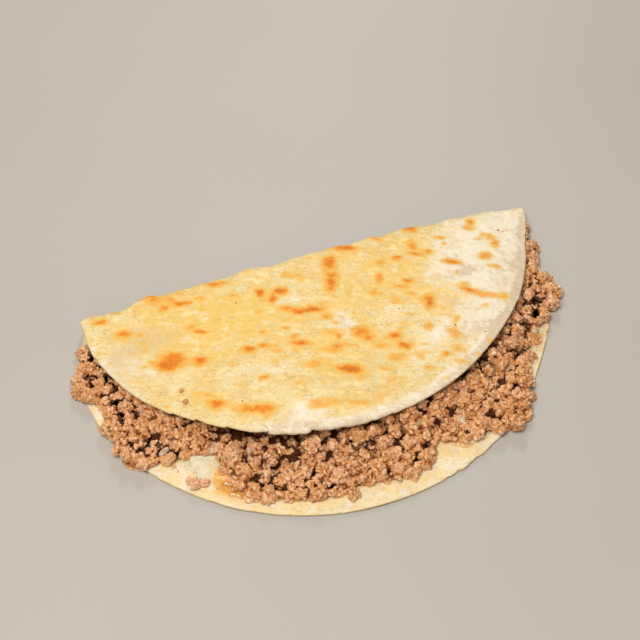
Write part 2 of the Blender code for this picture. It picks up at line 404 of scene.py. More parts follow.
to_rim = (1 - from_middle) * LOWER_RADIUS
round_x = np.where(on_flap, FLAP_CENTRE[0], 0)[:, None]
round_y = np.where(on_flap, FLAP_CENTRE[1], 0)[:, None]
angle = np.arctan2(mid_y - round_y, mid_x - round_x)
noise_row = np.where(on_flap, 0.0, 1.0)[:, None] + 0 * angle
along_edge = angle * LOWER_RADIUS
nicks = ripple(along_edge, noise_row, NICK_SIZES[0], 61)
nicks = nicks + 0.5 * ripple(along_edge, noise_row, NICK_SIZES[1], 62)
before_fold = smooth(0, CALM_BY_FOLD, BEND_Y - mid_y)
ragged = np.clip(0.4 + 1.3 * ripple(along_edge, noise_row, RAGGED_STRETCH, 66), 0, 1.2)
pull = RIM_NICKS * nicks * ragged
for cut_x, cut_reach, cut_depth in LIP_CUTS:
    beyond = (mid_x / MM - cut_x) / cut_reach
    pull = pull - cut_depth * MM * np.exp(-np.abs(beyond)) * (beyond > 0) * on_flap[:, None]
pull = pull * (1 - smooth(0, NICK_WIDTH, to_rim)) * before_fold
mid_x = mid_x + pull * np.cos(angle)
mid_y = mid_y + pull * np.sin(angle)
print("rim nicks up to", (np.abs(pull).max() / MM).round(2), "mm")

# %% [markdown]
# Nor is the fold straight. Where the dough buckled as it was folded, the fold has soft bumps, and
# a few wider dents are placed one by one, as (x, half width, depth) in millimetres.

# %% Uneven fold
FOLD_BUMPS = 1.0 * MM
FOLD_BUMP_WIDTH = 16.0 * MM
FOLD_BUMP_SIZES = (15 * MM, 6 * MM)
FOLD_DENTS = ((-94, 6, 1.3), (-78, 6, -1.5), (-66, 5, 0.5), (57, 6, -0.6))

at_fold = 1 - smooth(0, FOLD_BUMP_WIDTH, BEND_Y - mid_y)
bumps = ripple(mid_x, 0 * mid_x, FOLD_BUMP_SIZES[0], 63)
bumps = bumps + 0.5 * ripple(mid_x, 0 * mid_x, FOLD_BUMP_SIZES[1], 64)
mid_y = mid_y + FOLD_BUMPS * bumps * at_fold
for dent_x, half_width, depth in FOLD_DENTS:
    mid_y = mid_y + depth * MM * bump(mid_x, dent_x * MM, half_width * MM) * at_fold
mid_z = mid_z + 0.5 * FOLD_BUMPS * bumps * at_fold * np.clip(mid_z / GAP_AT_FOLD, 0, 1)
print("bumps along the fold up to", (FOLD_BUMPS * np.abs(bumps).max() / MM).round(2), "mm")

# %% [markdown]
# Each point of the sheet has an outer and an inner side. Both are found by stepping half the
# thickness along the mid-surface's normal. A rolled tortilla is thinner at its rim, where the
# rolling pin and the griddle squeeze and dry it, and the rim of the lower half lifts off the
# plate a little here and there. The middle of the free lip stayed thick and doughy.

# %% Thickness and rim
RIM_THICKNESS = 1.2 * MM
RIM_WIDTH = 4.0 * MM
RIM_LIFT = 0.4 * MM
RIM_LIFT_WIDTH = 9.0 * MM
THICK_LIP_X = -12 * MM
THICK_LIP_WIDTH = 26 * MM
THICK_LIP = 0.9 * MM
LIP_SWELL_FROM_RIM = 1.5 * MM
LIP_SWELL_WIDTH = 4 * MM

near_rim = 1 - smooth(0, RIM_WIDTH, to_rim)
lip_fullness = 0.5 * ripple(mid_x, mid_y, 25 * MM, 3) + bump(mid_x, THICK_LIP_X, THICK_LIP_WIDTH)
thinned = near_rim * np.clip(1 - lip_fullness * on_flap[:, None], 0, 1)
thickness = SHEET + (RIM_THICKNESS - SHEET) * thinned
swell = bump(mid_x, THICK_LIP_X, THICK_LIP_WIDTH) * bump(to_rim, LIP_SWELL_FROM_RIM, LIP_SWELL_WIDTH)
thickness = thickness + THICK_LIP * swell * on_flap[:, None]

lifting = np.clip(0.45 + 0.9 * ripple(mid_x, mid_y, 22 * MM, 5), 0, 1)
lift = RIM_LIFT * (1 - smooth(0, RIM_LIFT_WIDTH, to_rim)) * lifting
is_lower = np.arange(len(mid_x))[:, None] < LOWER_ROWS
mid_z = np.where(is_lower, thickness / 2 + lift, mid_z)
print("thickness", (thickness.min() / MM).round(2), "to", (thickness.max() / MM).round(2), "mm")

# %% [markdown]
# Blender works out the normals of the mid-surface from a mesh that is made only for that. They
# have to point out of the fold, so the sheet is tested at one row near the lip: there, out is
# up.

# %% Normals of the mid-surface
ROW_NEAR_LIP = -30

rows, columns = mid_x.shape
at = np.arange(rows * columns).reshape(rows, columns)
middle_quads = np.stack([at[:-1, :-1], at[:-1, 1:], at[1:, 1:], at[1:, :-1]], axis=-1)
middle_quads = middle_quads.reshape(-1, 4)
middle = np.stack([mid_x, mid_y, mid_z], axis=-1).reshape(-1, 3)
mid_surface = bpy.data.meshes.new("mid surface")
mid_surface.from_pydata(middle.tolist(), [], middle_quads.tolist())
outward = np.zeros(len(middle) * 3)
mid_surface.vertex_normals.foreach_get("vector", outward)
outward = outward.reshape(-1, 3)
top_of_flap = outward[at[ROW_NEAR_LIP, columns // 2]]
if top_of_flap[2] < 0:
    outward = -outward
bpy.data.meshes.remove(mid_surface)
print("mid-surface:", len(middle), "points,", len(middle_quads), "faces")

# %% [markdown]
# Both sides need a coordinate that runs through the dough as if it were still flat, so that
# spots and wrinkles carry on round the fold. It is the flap's own y, unrolled round the bend
# and on under the lower half.

# %% The dough laid flat
bend_radius = (fold_gap(mid_x) + SHEET) / 2
bend_share = np.zeros(rows)
bend_share[LOWER_ROWS:LOWER_ROWS + BEND_ROWS] = np.arange(BEND_ROWS) / BEND_ROWS
flat_y = mid_y.copy()
in_bend = slice(LOWER_ROWS, LOWER_ROWS + BEND_ROWS)
flat_y[in_bend] = BEND_Y + (math.pi * bend_radius * (1 - bend_share[:, None]))[in_bend]
flat_y[:LOWER_ROWS] = (2 * BEND_Y - mid_y + math.pi * bend_radius)[:LOWER_ROWS]
print("the dough laid flat runs from", flat_y.min().round(4), "to", flat_y.max().round(4), "m")

# %% [markdown]
# ## Griddle marks
# A tortilla puffs up into blisters on a hot griddle, and only the blisters touch the metal, so
# the browning comes in separate soft spots, each with a golden edge. The large ones are placed
# one by one, as (x, y, half width, half height, strength) in millimetres. Small ones are random.
# The dough was rolled out at a slant to its later fold, so its spots and fibres lie slanting.

# %% The large griddle marks
SPOTS = (
    (-86, 11.5, 2.2, 1.2, 0.8), (-78, 1.5, 3.0, 1.7, 0.85), (-89, 16, 1.6, 1.2, 0.4),
    (-78.5, 15, 1.6, 0.8, 0.6), (-63, 15, 4.2, 1.4, 0.7), (-56, 12, 1.7, 1.1, 0.6),
    (-59.5, 8.5, 1.7, 1.9, 0.75), (-51.5, 8, 3.2, 1.3, 0.8), (-51, 14, 2.0, 0.9, 0.4),
    (-44.5, 9, 1.5, 1.0, 0.35), (-36.5, 13.5, 2.6, 1.3, 0.85), (-32, 13, 2.4, 0.9, 0.6),
    (-30, 4, 1.5, 0.9, 0.5), (-44, 1, 2.0, 0.9, 0.35), (-51, -6, 2.2, 1.4, 0.6),
    (-48, -10.5, 3.0, 1.0, 0.6), (-40.5, -7, 2.2, 1.1, 0.35), (-61.5, -18.5, 3.4, 1.8, 0.9),
    (-65, -21.5, 3.2, 1.7, 0.9), (-63, -22.5, 3.8, 2.6, 0.6), (-52, -25, 2.6, 1.8, 0.85),
    (-57.5, -22.5, 1.2, 0.9, 0.4), (-32.5, -27, 1.9, 1.8, 0.85), (-41, -31, 2.4, 1.1, 0.35),
    (-56, -40, 3.2, 1.2, 0.35), (-51, -47, 3.2, 1.7, 0.85), (-41, -53, 1.9, 1.5, 0.5),
    (-19.5, 1.5, 1.8, 2.4, 0.9), (-15.5, -3.5, 1.5, 2.4, 0.8), (-11, 0, 2.4, 1.9, 0.8),
    (-5.5, 7, 1.8, 1.1, 0.6), (-1.5, 5.5, 1.7, 1.1, 0.6), (-1, 2, 1.5, 0.9, 0.4),
    (-12, -11, 2.4, 1.3, 0.7), (-7, -15, 3.2, 1.4, 0.9), (-1, -16, 3.4, 1.5, 0.85),
    (2, -22, 2.1, 1.4, 0.65), (-24.5, -20.5, 1.6, 1.1, 0.55), (-23, -8.5, 1.6, 1.1, 0.5),
    (-16, -21.5, 1.8, 1.1, 0.45), (-13.5, -27, 1.8, 1.1, 0.65), (-12, -31.5, 3.7, 1.3, 0.9),
    (-15, -34.5, 1.6, 1.1, 0.35), (-26, -27.5, 2.0, 1.4, 0.75), (-22.5, -31, 2.5, 1.2, 0.4),
    (-24, -36, 1.8, 1.2, 0.4), (-30, -42, 2.2, 1.2, 0.65), (-10.5, -43, 3.0, 1.5, 0.6),
    (0.5, -29.5, 2.2, 1.2, 0.5), (3, -33, 1.6, 1.0, 0.5), (1, -37, 2.0, 1.4, 0.75),
    (5, -38, 2.2, 0.9, 0.5), (-2.5, -38.5, 4.0, 1.2, 0.45), (12.5, -34, 3.2, 2.1, 0.85),
    (14.5, -38, 2.0, 1.3, 0.6), (2.5, -49.5, 4.8, 1.8, 1.0), (5, -55, 2.0, 1.3, 0.3),
    (17.5, -43, 3.0, 1.4, 0.5), (24.5, -40.5, 2.3, 1.3, 0.85), (27, -45.5, 2.4, 1.4, 0.9),
    (21.5, -50, 2.5, 1.5, 0.6), (28, -38, 1.3, 1.1, 0.4), (-36.5, -55, 5.3, 1.9, 0.8),
    (-14, -61, 4.4, 2.0, 0.55), (-7, -62, 2.2, 1.0, 0.35), (1, -65, 5.0, 1.2, 0.55),
    (9.5, -65, 1.6, 1.7, 0.35), (18, -63.5, 2.1, 1.6, 0.3), (13, 8, 2.6, 3.6, 0.85),
    (10, -4, 2.1, 4.4, 0.9), (11.5, 1.5, 3.0, 1.6, 0.5), (22.5, 14, 5.0, 1.5, 0.8),
    (36.5, 14.5, 2.2, 1.4, 0.6), (32.5, 0.5, 1.7, 1.4, 0.5), (29.5, -8.5, 1.8, 2.6, 0.75),
    (24, -15.5, 1.8, 1.5, 0.55), (41, 1, 2.3, 1.4, 0.8), (50, 6, 2.0, 1.5, 0.6),
    (49, 1, 2.6, 1.1, 0.7), (53, 15, 2.6, 1.8, 0.95), (55, 0.5, 1.8, 1.2, 0.7),
    (48.5, -6, 1.1, 0.9, 0.4), (40.5, -13.5, 2.0, 1.1, 0.8), (36.5, -16, 2.6, 1.2, 0.6),
    (38.5, -21, 1.8, 1.0, 0.6), (31, -23, 2.0, 1.4, 0.45), (63, 7, 2.4, 1.0, 0.6),
    (63, 3, 1.4, 0.8, 0.35), (79.5, 12, 1.5, 1.6, 0.7), (77, 9, 3.0, 1.1, 0.5),
    (62, -8, 3.0, 1.5, 0.85), (44.5, -27.5, 2.3, 3.1, 0.85), (39.5, -40, 2.0, 1.5, 0.7),
    (83.5, 2, 2.6, 1.6, 0.55), (84.5, -3.5, 1.7, 2.0, 0.8), (77.5, -9.5, 2.4, 2.0, 0.75),
    (78, -17, 3.0, 1.3, 0.5), (78, 1.5, 2.0, 0.9, 0.4), (60.5, -23, 2.0, 1.8, 0.4),
    (63, -27, 2.3, 1.5, 0.8), (68, -30.5, 4.2, 1.6, 0.55), (74.5, -33.5, 2.0, 2.4, 0.4),
    (64.5, -38, 3.0, 1.3, 0.2), (47.5, -47, 2.0, 2.1, 0.5), (47, -54, 2.8, 1.6, 0.4),
    (40.5, -54.5, 1.3, 1.3, 0.45), (45, -59.5, 2.6, 1.4, 0.4), (38, -56.5, 1.2, 1.2, 0.3),
    (30.5, -52.5, 1.8, 2.1, 0.4), (32, -58.5, 2.3, 1.2, 0.45), (36, -65, 1.8, 1.5, 0.3),
)
print("large griddle marks:", len(SPOTS))

# %% [markdown]
# Small freckles cover the flap between the large marks, and the underside has its own spots. A
# soft ellipse would look airbrushed, so noise bends the plane before the spots are laid on it,
# at the sizes of the dough's bubbles. Each spot has a strong middle and a faint wide halo, and
# spots that meet add up as layers of glaze would, so the dough never gets browner than 1.

# %% Where the dough browned
GRAIN_TURN = math.radians(22)
FRECKLES = 420
FRECKLE_SIZES, FRECKLE_STRENGTHS = (0.6, 1.9), (0.08, 0.42)
FRECKLED = (-95, 66), (-62, 20)
UNDERSIDE_SPOTS = 60
UNDERSIDE_SIZES, UNDERSIDE_STRENGTHS = (1.8, 5.5), (0.4, 0.9)
UNDERSIDE = (-85, 85), (34, 130)
SPOT_FLATNESS = 0.6
HALO = 0.25
rng = np.random.default_rng(11)


def random_spots(count, x_range, y_range, widths, strengths):
    """Spots as those in SPOTS, within ranges in millimetres of the dough laid flat."""
    return list(zip(
        rng.uniform(*x_range, count), rng.uniform(*y_range, count), rng.uniform(*widths, count),
        rng.uniform(*widths, count) * SPOT_FLATNESS, rng.uniform(*strengths, count),
    ))


def browned(x, y):
    """0 on pale dough and towards 1 in the middle of a well browned spot."""
    along = np.array((math.cos(GRAIN_TURN), -math.sin(GRAIN_TURN)))
    warp_x = x + 0.8 * MM * ripple(x, y, 4.0 * MM, 21) + 0.8 * MM * ripple(x, y, 1.8 * MM, 22)
    warp_y = y + 0.7 * MM * ripple(x, y, 4.0 * MM, 23) + 0.6 * MM * ripple(x, y, 1.8 * MM, 24)
    pale = np.ones_like(x)
    small = random_spots(FRECKLES, *FRECKLED, FRECKLE_SIZES, FRECKLE_STRENGTHS)
    below = random_spots(UNDERSIDE_SPOTS, *UNDERSIDE, UNDERSIDE_SIZES, UNDERSIDE_STRENGTHS)
    for spot_x, spot_y, half_width, half_height, strength in (*SPOTS, *small, *below):
        off_x, off_y = warp_x / MM - spot_x, warp_y / MM - spot_y
        off_x, off_y = off_x * along[0] + off_y * along[1], off_y * along[0] - off_x * along[1]
        away = (off_x / half_width) ** 2 + (off_y / half_height) ** 2
        pale *= 1 - strength * (0.75 * np.exp(-0.75 * away) + HALO * np.exp(-0.24 * away))
    return 1 - pale


toast = browned(mid_x, flat_y)
print("browned share of the outer side:", (toast > 0.3).mean().round(3))

# %% [markdown]
# Butter on the griddle soaked into the middle of the flap and made it golden. Dry flour from
# rolling stays white along the lip and on the right. The greyish areas are partly the dough's
# own tint where the flour is thin and partly painted shade, mostly at the left end. These areas
# are broad and have no edges, so each is laid on as a few soft patches, as (x, y, half width,
# half height, strength) in millimetres, in a plane bent by noise.

# %% Broad areas on the dough
AREA_BEND = 6 * MM
AREA_BEND_SIZE = 18 * MM


def patches(x, y, places):
    """The sum of soft patches at each point."""
    total = np.zeros_like(x)
    warp_x = x + AREA_BEND * ripple(x, y, AREA_BEND_SIZE, 31)
    warp_y = y + AREA_BEND * ripple(x, y, AREA_BEND_SIZE, 32)
    for spot_x, spot_y, half_width, half_height, strength in places:
        off_x = (warp_x / MM - spot_x) / half_width
        off_y = (warp_y / MM - spot_y) / half_height
        total += strength * np.exp(-(off_x ** 2 + off_y ** 2))
    return total


BUTTER = (
    (-32, -4, 24, 14, 0.8), (-20, -16, 34, 12, 0.6), (33, -4, 18, 14, 0.5), (43, -18, 17, 12, 0.6),
    (49, -30, 10, 8, 0.5), (4, -38, 26, 10, 0.45), (-12, -60, 22, 5, 0.35), (13, 9, 16, 8, 0.45),
    (-54, -41, 14, 8, 0.25), (-62, 8, 18, 7, 0.4), (14, -20, 14, 10, 0.3), (30, -48, 16, 8, 0.35),
    (52, 6, 14, 8, 0.3), (-50, -12, 18, 8, 0.35), (-72, -5, 14, 10, 0.65),
)
FLOUR = (
    (78, -2, 20, 20, 0.55), (74, -22, 16, 10, 0.5), (68, -42, 18, 12, 0.75), (42, -44, 10, 6, 0.5),
    (62, -14, 10, 7, 0.55), (95, 2, 10, 20, 0.6), (7, -27, 6, 8, 0.6), (-6, -8, 8, 4, 0.35),
    (-82, -12, 10, 12, 0.3), (28, -30, 8, 6, 0.3), (-72, -20, 8, 6, 0.25), (-22, -62, 9, 6, 0.7),
    (-23, -41, 8, 5, 0.35), (-36, -35, 10, 5, 0.25), (30, -54, 8, 8, 0.3), (50, -62, 14, 8, 0.4),
)
# The greyish patches below hold painted shade too: the large ones at the left end darken it as shade
# would.
GREY_AND_SHADE = (
    (60, -14, 9, 3, 0.8), (7, -27, 3, 6, 0.7), (-71, -3, 2, 7, 0.8), (29, 8, 2, 6, 0.7),
    (62, -47, 12, 7, 0.5), (-52, -8, 12, 2.5, 0.4), (18, -50, 7, 4, 0.6), (52.5, -29, 4, 5, 0.8),
    (-35, -38, 16, 4, 0.5), (86, -18, 8, 5, 0.4), (70, 2, 5, 8, 0.3), (-78, -16, 6, 10, 0.4),
    (-68, -6, 12, 8, 0.55), (80, -28, 8, 6, 0.5), (-30, -64, 8, 4, 0.5), (24, -62, 10, 4, 0.4),
    (-72, -8, 20, 18, 0.45), (-66, -30, 14, 8, 0.3),
)
print("patches of butter, flour and grey:", len(BUTTER), len(FLOUR), len(GREY_AND_SHADE))

# %% Butter, flour, greyish tint and painted shade at each point
LIP_FLOUR_START = 1.0 * MM
LIP_FLOUR_WIDTHS = (6.0, 3.0)
LIP_FLOUR_EDGE_SIZE = 12 * MM
FLOURY_LIP_FROM_X = (-46 * MM, -26 * MM)

butter = patches(mid_x, flat_y, BUTTER)
flour = patches(mid_x, flat_y, FLOUR)
grey = np.clip(patches(mid_x, flat_y, GREY_AND_SHADE), 0, 1)
edge_wave = ripple(mid_x, flat_y, LIP_FLOUR_EDGE_SIZE, 33)
lip_flour_end = (LIP_FLOUR_WIDTHS[0] + LIP_FLOUR_WIDTHS[1] * edge_wave) * MM
lip_flour = 1 - smooth(LIP_FLOUR_START, lip_flour_end, to_rim)
lip_share = 0.25 + 0.75 * smooth(*FLOURY_LIP_FROM_X, mid_x)
flour += 0.6 * lip_flour * on_flap[:, None] * lip_share
# Along the lip the greyish coat is painted shade as well as thin flour.
grey = np.clip(grey + 0.45 * lip_flour * on_flap[:, None] * lip_share, 0, 1)
butter = np.clip(butter * (1 - 0.8 * lip_flour), 0, 1)
flour = np.clip(flour, 0, 1)
print("butter up to", butter.max().round(2), "and flour up to", flour.max().round(2))

# %% [markdown]
# Where the hand pressed the fold, the dough keeps short creases. Each is a line from
# (x, y) to (x, y) with a width and a depth in millimetres. A crease is deepest halfway along,
# and painted shade makes it greyer the deeper it is.

# %% Creases
CREASES = (
    (33, 14, 30, 4.5, 0.7, 0.6), (-8.5, 11, -16.5, 3, 1.0, 0.6), (-71, 3, -72, -8, 1.2, 0.7),
    (91, 6, 96.5, 1, 0.9, 0.8), (87, -14, 91, -21, 0.9, 0.6), (63, -14.5, 70, -12.5, 0.8, 0.6),
    (7, -23, 6.5, -32, 1.6, 0.5), (-79, 16, -70, 11, 1.4, 0.6), (60, -20, 56, -27, 1.0, 0.4),
    (92, -4, 96, -10, 0.9, 0.4), (46, -17, 58, -15, 1.0, 0.35), (70, 10, 69, -6, 1.6, 0.35),
    (-66, 3, -60, 14, 1.4, 0.4), (18, 8, 26, 13, 1.2, 0.4), (56, 10, 70, 13, 1.2, 0.35),
    (85.5, 8.5, 91, 4, 1.1, 0.9), (91, 4, 97, 2.5, 1.0, 0.8), (84, -13, 88.5, -19, 1.1, 0.8),
    (80, -11, 86, -17, 1.0, 0.6), (76, 9.5, 79, 4, 1.1, 0.6), (60, -9, 71, -2, 1.3, 0.6),
    (-36, -63, -34, -58, 0.8, 0.6), (-27, -67, -28, -62, 0.8, 0.5), (-21, -70, -20, -64, 0.9, 0.7),
    (-14, -70, -16, -65, 0.8, 0.4), (-31, -66, -31, -62, 0.7, 0.4),
)
crease_depth = np.zeros_like(mid_x)
crease_bend = 0.8 * ripple(mid_x, flat_y, 5 * MM, 65)
for x0, y0, x1, y1, width, depth in CREASES:
    along = np.array((x1 - x0, y1 - y0))
    off_x, off_y = mid_x / MM - x0, flat_y / MM - y0
    share = np.clip((off_x * along[0] + off_y * along[1]) / (along @ along), 0, 1)
    away = np.hypot(off_x - share * along[0] + crease_bend, off_y - share * along[1])
    fading = np.sin(math.pi * np.clip(share, 0.08, 0.92))
    crease_depth = np.maximum(crease_depth, depth * fading * bump(away, 0, width))
# Painted shade in the creases, growing with their depth.
grey = np.clip(grey + 0.9 * crease_depth ** 2, 0, 1)
print("creases:", len(CREASES), "up to", crease_depth.max().round(2), "mm deep")

# %% [markdown]
# ## The tortilla's mesh
# The relief of a tortilla is small: blisters stand up by a few tenths of a millimetre, the
# dough between them is uneven, more so where flour kept it rough, and it puckers where it is
# folded. A bump map would do for the smallest grain, but light from behind shows the rest in
# outline, so it is in the mesh. Hollows of floury dough get painted shade, which makes them greyer.

# %% Relief of the dough
BLISTER_HEIGHT = 0.35 * MM
PUCKER_HEIGHT = 0.35 * MM
PUCKERS_FROM_FOLD = 26 * MM
LIP_FOLD_DEPTH = 0.30 * MM
LIP_FOLDS_FROM_RIM = 16 * MM
coarse = ripple(mid_x, flat_y, 4.5 * MM, 42, stretch=1.3)
fine = ripple(mid_x, flat_y, 2.4 * MM, 43)
uneven = (
    0.34 * ripple(mid_x, flat_y, 12 * MM, 41, stretch=1.5)
    + (0.17 + 0.25 * flour) * coarse
    + (0.09 + 0.28 * np.maximum(lip_flour, flour)) * fine
) * MM
# Painted shade in the hollows of the floury dough.
grey = np.clip(grey + 0.85 * flour * np.clip(-coarse - fine, 0, 1), 0, 1)
by_fold = 1 - smooth(0, PUCKERS_FROM_FOLD, np.abs(mid_y - BEND_Y - 4 * MM))
puckers = PUCKER_HEIGHT * ripple(mid_x, flat_y * 0.35, 7 * MM, 44) * by_fold
by_lip = 1 - smooth(0, LIP_FOLDS_FROM_RIM, to_rim)
folds_at_lip = np.clip(ripple(angle * FLAP_RADIUS, to_rim * 0.25, 6 * MM, 45), 0, 1)
dents = -LIP_FOLD_DEPTH * by_lip * folds_at_lip * on_flap[:, None] - crease_depth * MM
outer_relief = uneven + puckers + dents + BLISTER_HEIGHT * np.sqrt(toast)
inner_relief = 0.12 * MM * ripple(mid_x, mid_y, 4 * MM, 46)
inner_relief += 0.08 * MM * ripple(mid_x, mid_y, 1.9 * MM, 47)
print("relief of the outer side (mm):", (outer_relief.min() / MM).round(2), "to",
      (outer_relief.max() / MM).round(2))

# %% [markdown]
# Stepping out along the normals by half the thickness plus the relief gives the outer side,
# and stepping in gives the inner side. A Solidify modifier would do the same with a sharp rim.
# Here three rings between the two sides round the rim off, and the sheet is closed all round.

# %% Outer side and inner side
CALM_AT_RIM = 2.0 * MM

half = (thickness / 2).reshape(-1, 1)
calm_at_rim = smooth(0, CALM_AT_RIM, to_rim).reshape(-1, 1)
step_out = half + outer_relief.reshape(-1, 1) * (0.25 + 0.75 * calm_at_rim)
step_in = half + inner_relief.reshape(-1, 1) * calm_at_rim
flat_on_plate = (is_lower & (to_rim > RIM_LIFT_WIDTH)).reshape(-1, 1)
step_out = np.where(flat_on_plate, half, step_out)
print("steps outwards up to", (step_out.max() / MM).round(2), "mm")

# %% The rounded rim
RIM_RINGS = 3
ring_turns = [math.pi * i / (RIM_RINGS + 1) for i in range(1, RIM_RINGS + 1)]

ring = np.concatenate([at[0, :-1], at[:-1, -1], at[-1, :0:-1], at[:0:-1, 0]])
ring_middle, ring_outward = middle[ring], outward[ring]
along_rim = np.roll(ring_middle, -1, axis=0) - np.roll(ring_middle, 1, axis=0)
sideways = np.cross(along_rim, ring_outward)
sideways /= np.linalg.norm(sideways, axis=1)[:, None]
if np.dot(sideways[columns // 2], ring_middle[columns // 2]) < 0:
    sideways = -sideways

points = [middle + outward * step_out, middle - outward * step_in]
faces = middle_quads.tolist() + (middle_quads + len(middle)).tolist()
strips, next_point = [ring], 2 * len(middle)
for ring_turn in ring_turns:
    rise, out = math.cos(ring_turn), math.sin(ring_turn)
    span = (step_out if rise > 0 else step_in)[ring]
    points.append(ring_middle + ring_outward * span * rise + sideways * half[ring] * out)
    strips.append(next_point + np.arange(len(ring)))
    next_point += len(ring)
strips.append(ring + len(middle))
for near, far in zip(strips, strips[1:]):
    around = np.stack([near, np.roll(near, -1), np.roll(far, -1), far], axis=-1)
    faces += around.tolist()
sheet_points = np.concatenate(points)
sheet_points[:, 2] = np.maximum(sheet_points[:, 2], 0)
print("sheet:", len(sheet_points), "points,", len(faces), "faces")


def over_sheet(outer_values, inner_values):
    """One value for every point of the sheet, from the values of its two sides."""
    outer_values, inner_values = outer_values.ravel(), inner_values.ravel()
    between = [
        outer_values[ring] if math.cos(ring_turn) > 0 else inner_values[ring]
        for ring_turn in ring_turns
    ]
    return np.concatenate([outer_values, inner_values, *between])


# %% [markdown]
# ## Griddled flour dough
# A flour tortilla is rolled wheat dough, baked on a dry griddle. It is matt and a little
# translucent, so it has some subsurface light. Its colour is cream, more golden where butter
# soaked in, white where flour is left, and orange-brown in the blisters. The broad areas come
# from the mesh's own values. Noise breaks them up at the sizes of the crumb (0.5 mm), of the
# fibres that rolling draws out (1 mm wide) and of the small bubbles (2 to 4 mm).

# %% Helpers for materials
def speckle(tree, size, detail=2.0, stretch=(1, 1, 1)):
    """Noise from 0 to 1 whose bumps are about size across on the piece."""
    place = add(tree, "ShaderNodeTexCoord", out="Object")
    place = add(tree, "ShaderNodeMapping", {"Vector": place, "Rotation": (0, 0, GRAIN_TURN)})
    place = add(tree, "ShaderNodeMapping", {"Vector": place, "Scale": stretch})
    return add(tree, NOISE, {"Vector": place, "Scale": 1 / size, "Detail": detail}, out="Fac")


def weighed(tree, *terms):
    """The sum of (value, factor) terms, which are outputs or numbers."""
    total = 0.0
    for value, factor in terms:
        total = add(tree, MATH, {0: value, 1: factor, 2: total}, operation="MULTIPLY_ADD")
    return total


def painted(tree, colour, *coats):
    """Lays coats over a colour. Each is (colour, value, start, end, strength): there is
    nothing of it where value is at start, and strength of it where value is at end."""
    for over, value, start, end, strength in coats:
        share = add(tree, RANGE, {0: value, 1: start, 2: end, 4: strength},
                    interpolation_type="SMOOTHSTEP")
        colour = add(tree, MIX, {0: share, 1: colour, 2: over}, data_type="RGBA")
    return colour


# %% [markdown]
# The dough's colour is a row of coats over cream: darker fibres, gold where butter soaked
# in, pale raised bubbles, white flour, and a greyish coat that is partly the dough's own tint and
# partly painted shade in creases, hollows, along the lip and at the left end. The finest coats
# follow the crumb and give the cut, dry look of baked flour.

# %% Colours of the dough
def dough_patterns(tree):
    """Noise at the real sizes of the dough's patterns, from the crumb to broad clouds."""
    return {
        "crumb": speckle(tree, 0.5 * MM, 3.0),
        "fibres": speckle(tree, 1.0 * MM, 3.0, stretch=(0.55, 1, 1)),
        "bubbles": speckle(tree, 2.8 * MM, 3.0, stretch=(0.62, 1, 1)),
        "clouds": speckle(tree, 8 * MM, 3.0, stretch=(0.7, 1, 1)),
    }


def dough_colour(tree, patterns, butter, flour, grey):
    """Cream dough with its golden, white and greyish areas, and painted shade."""
    crumb, fibres, bubbles, clouds = patterns.values()
    buttered = weighed(tree, (butter, 1.1), (bubbles, 3.0), (clouds, 1.6), (fibres, 1.5), (-2.97, 1))
    floured = weighed(tree, (flour, 1.2), (bubbles, -0.9), (fibres, 0.7), (clouds, 0.3), (-0.02, 1))
    greyish = weighed(tree, (grey, 0.9), (flour, 0.35), (fibres, 1.6), (bubbles, 0.9), (-1.42, 1))
    dust_and_shade = weighed(tree, (flour, 1.0), (grey, 1.0), (fibres, 1.4), (bubbles, 0.6), (-1.92, 1))
    return painted(
        tree, "#E2CB91",
        ("#DDBC74", clouds, 0.38, 0.62, 1.0),
        ("#CDA968", fibres, 0.48, 0.30, 0.85),
        ("#EBBE5A", buttered, 0.0, 0.95, 0.9),
        ("#F1E0B2", bubbles, 0.46, 0.74, 0.72),
        ("#EDE3CC", floured, 0.1, 0.7, 0.9),
        # The next two coats carry painted shade as well as the dough's greyish tint and dust of flour.
        ("#D0B280", greyish, 0.05, 0.9, 0.6),
        ("#CFBAA0", dust_and_shade, 0.0, 0.75, 0.6),
        ("#CBA262", crumb, 0.46, 0.26, 0.5),
        ("#F6ECD2", crumb, 0.54, 0.74, 0.5),
    )


# %% [markdown]
# A griddle mark has a golden edge, an orange middle and, where it is strongest, a brown heart.
# Its coats follow one value, the browning, in which noise frays the soft spots of the mesh. A
# few blisters burst and char to specks under a millimetre across. On the inner side, meat
# juice and fat soak the dough to a deep gold, and under the beef it is painted dark brown,
# partly stained by fat and partly painted shade in the gaps between the clumps.

# %% Griddle marks, specks and soaked places
SPECK_SPACING = 7 * MM
SPECKS_LEFT_OUT = 0.72
# The dark brown under the beef: fat stains and painted shade.
STAIN_AND_SHADE_COLOUR = "#6A3716"


def browned_colour(tree, colour, patterns, toast):
    """Griddle marks over a colour."""
    crumb, fibres, bubbles = (patterns[name] for name in ("crumb", "fibres", "bubbles"))
    browning = weighed(tree, (toast, 1.4), (fibres, 0.7), (bubbles, 0.95), (crumb, 0.4), (-1.02, 1))
    browning = weighed(tree, (browning, 1), (0.15, 1))
    inside = add(tree, RANGE, {0: toast, 1: 0.0, 2: 0.3}, interpolation_type="SMOOTHSTEP")
    browning = weighed(tree, (browning, inside), (-0.15, 1))
    return painted(
        tree, colour,
        ("#E4BC62", browning, -0.15, 0.55, 0.8),
        ("#E6992C", browning, 0.22, 1.0, 0.95),
        ("#DC7A12", browning, 0.75, 1.15, 0.9),
        ("#B4601C", browning, 1.08, 1.35, 0.5),
    )


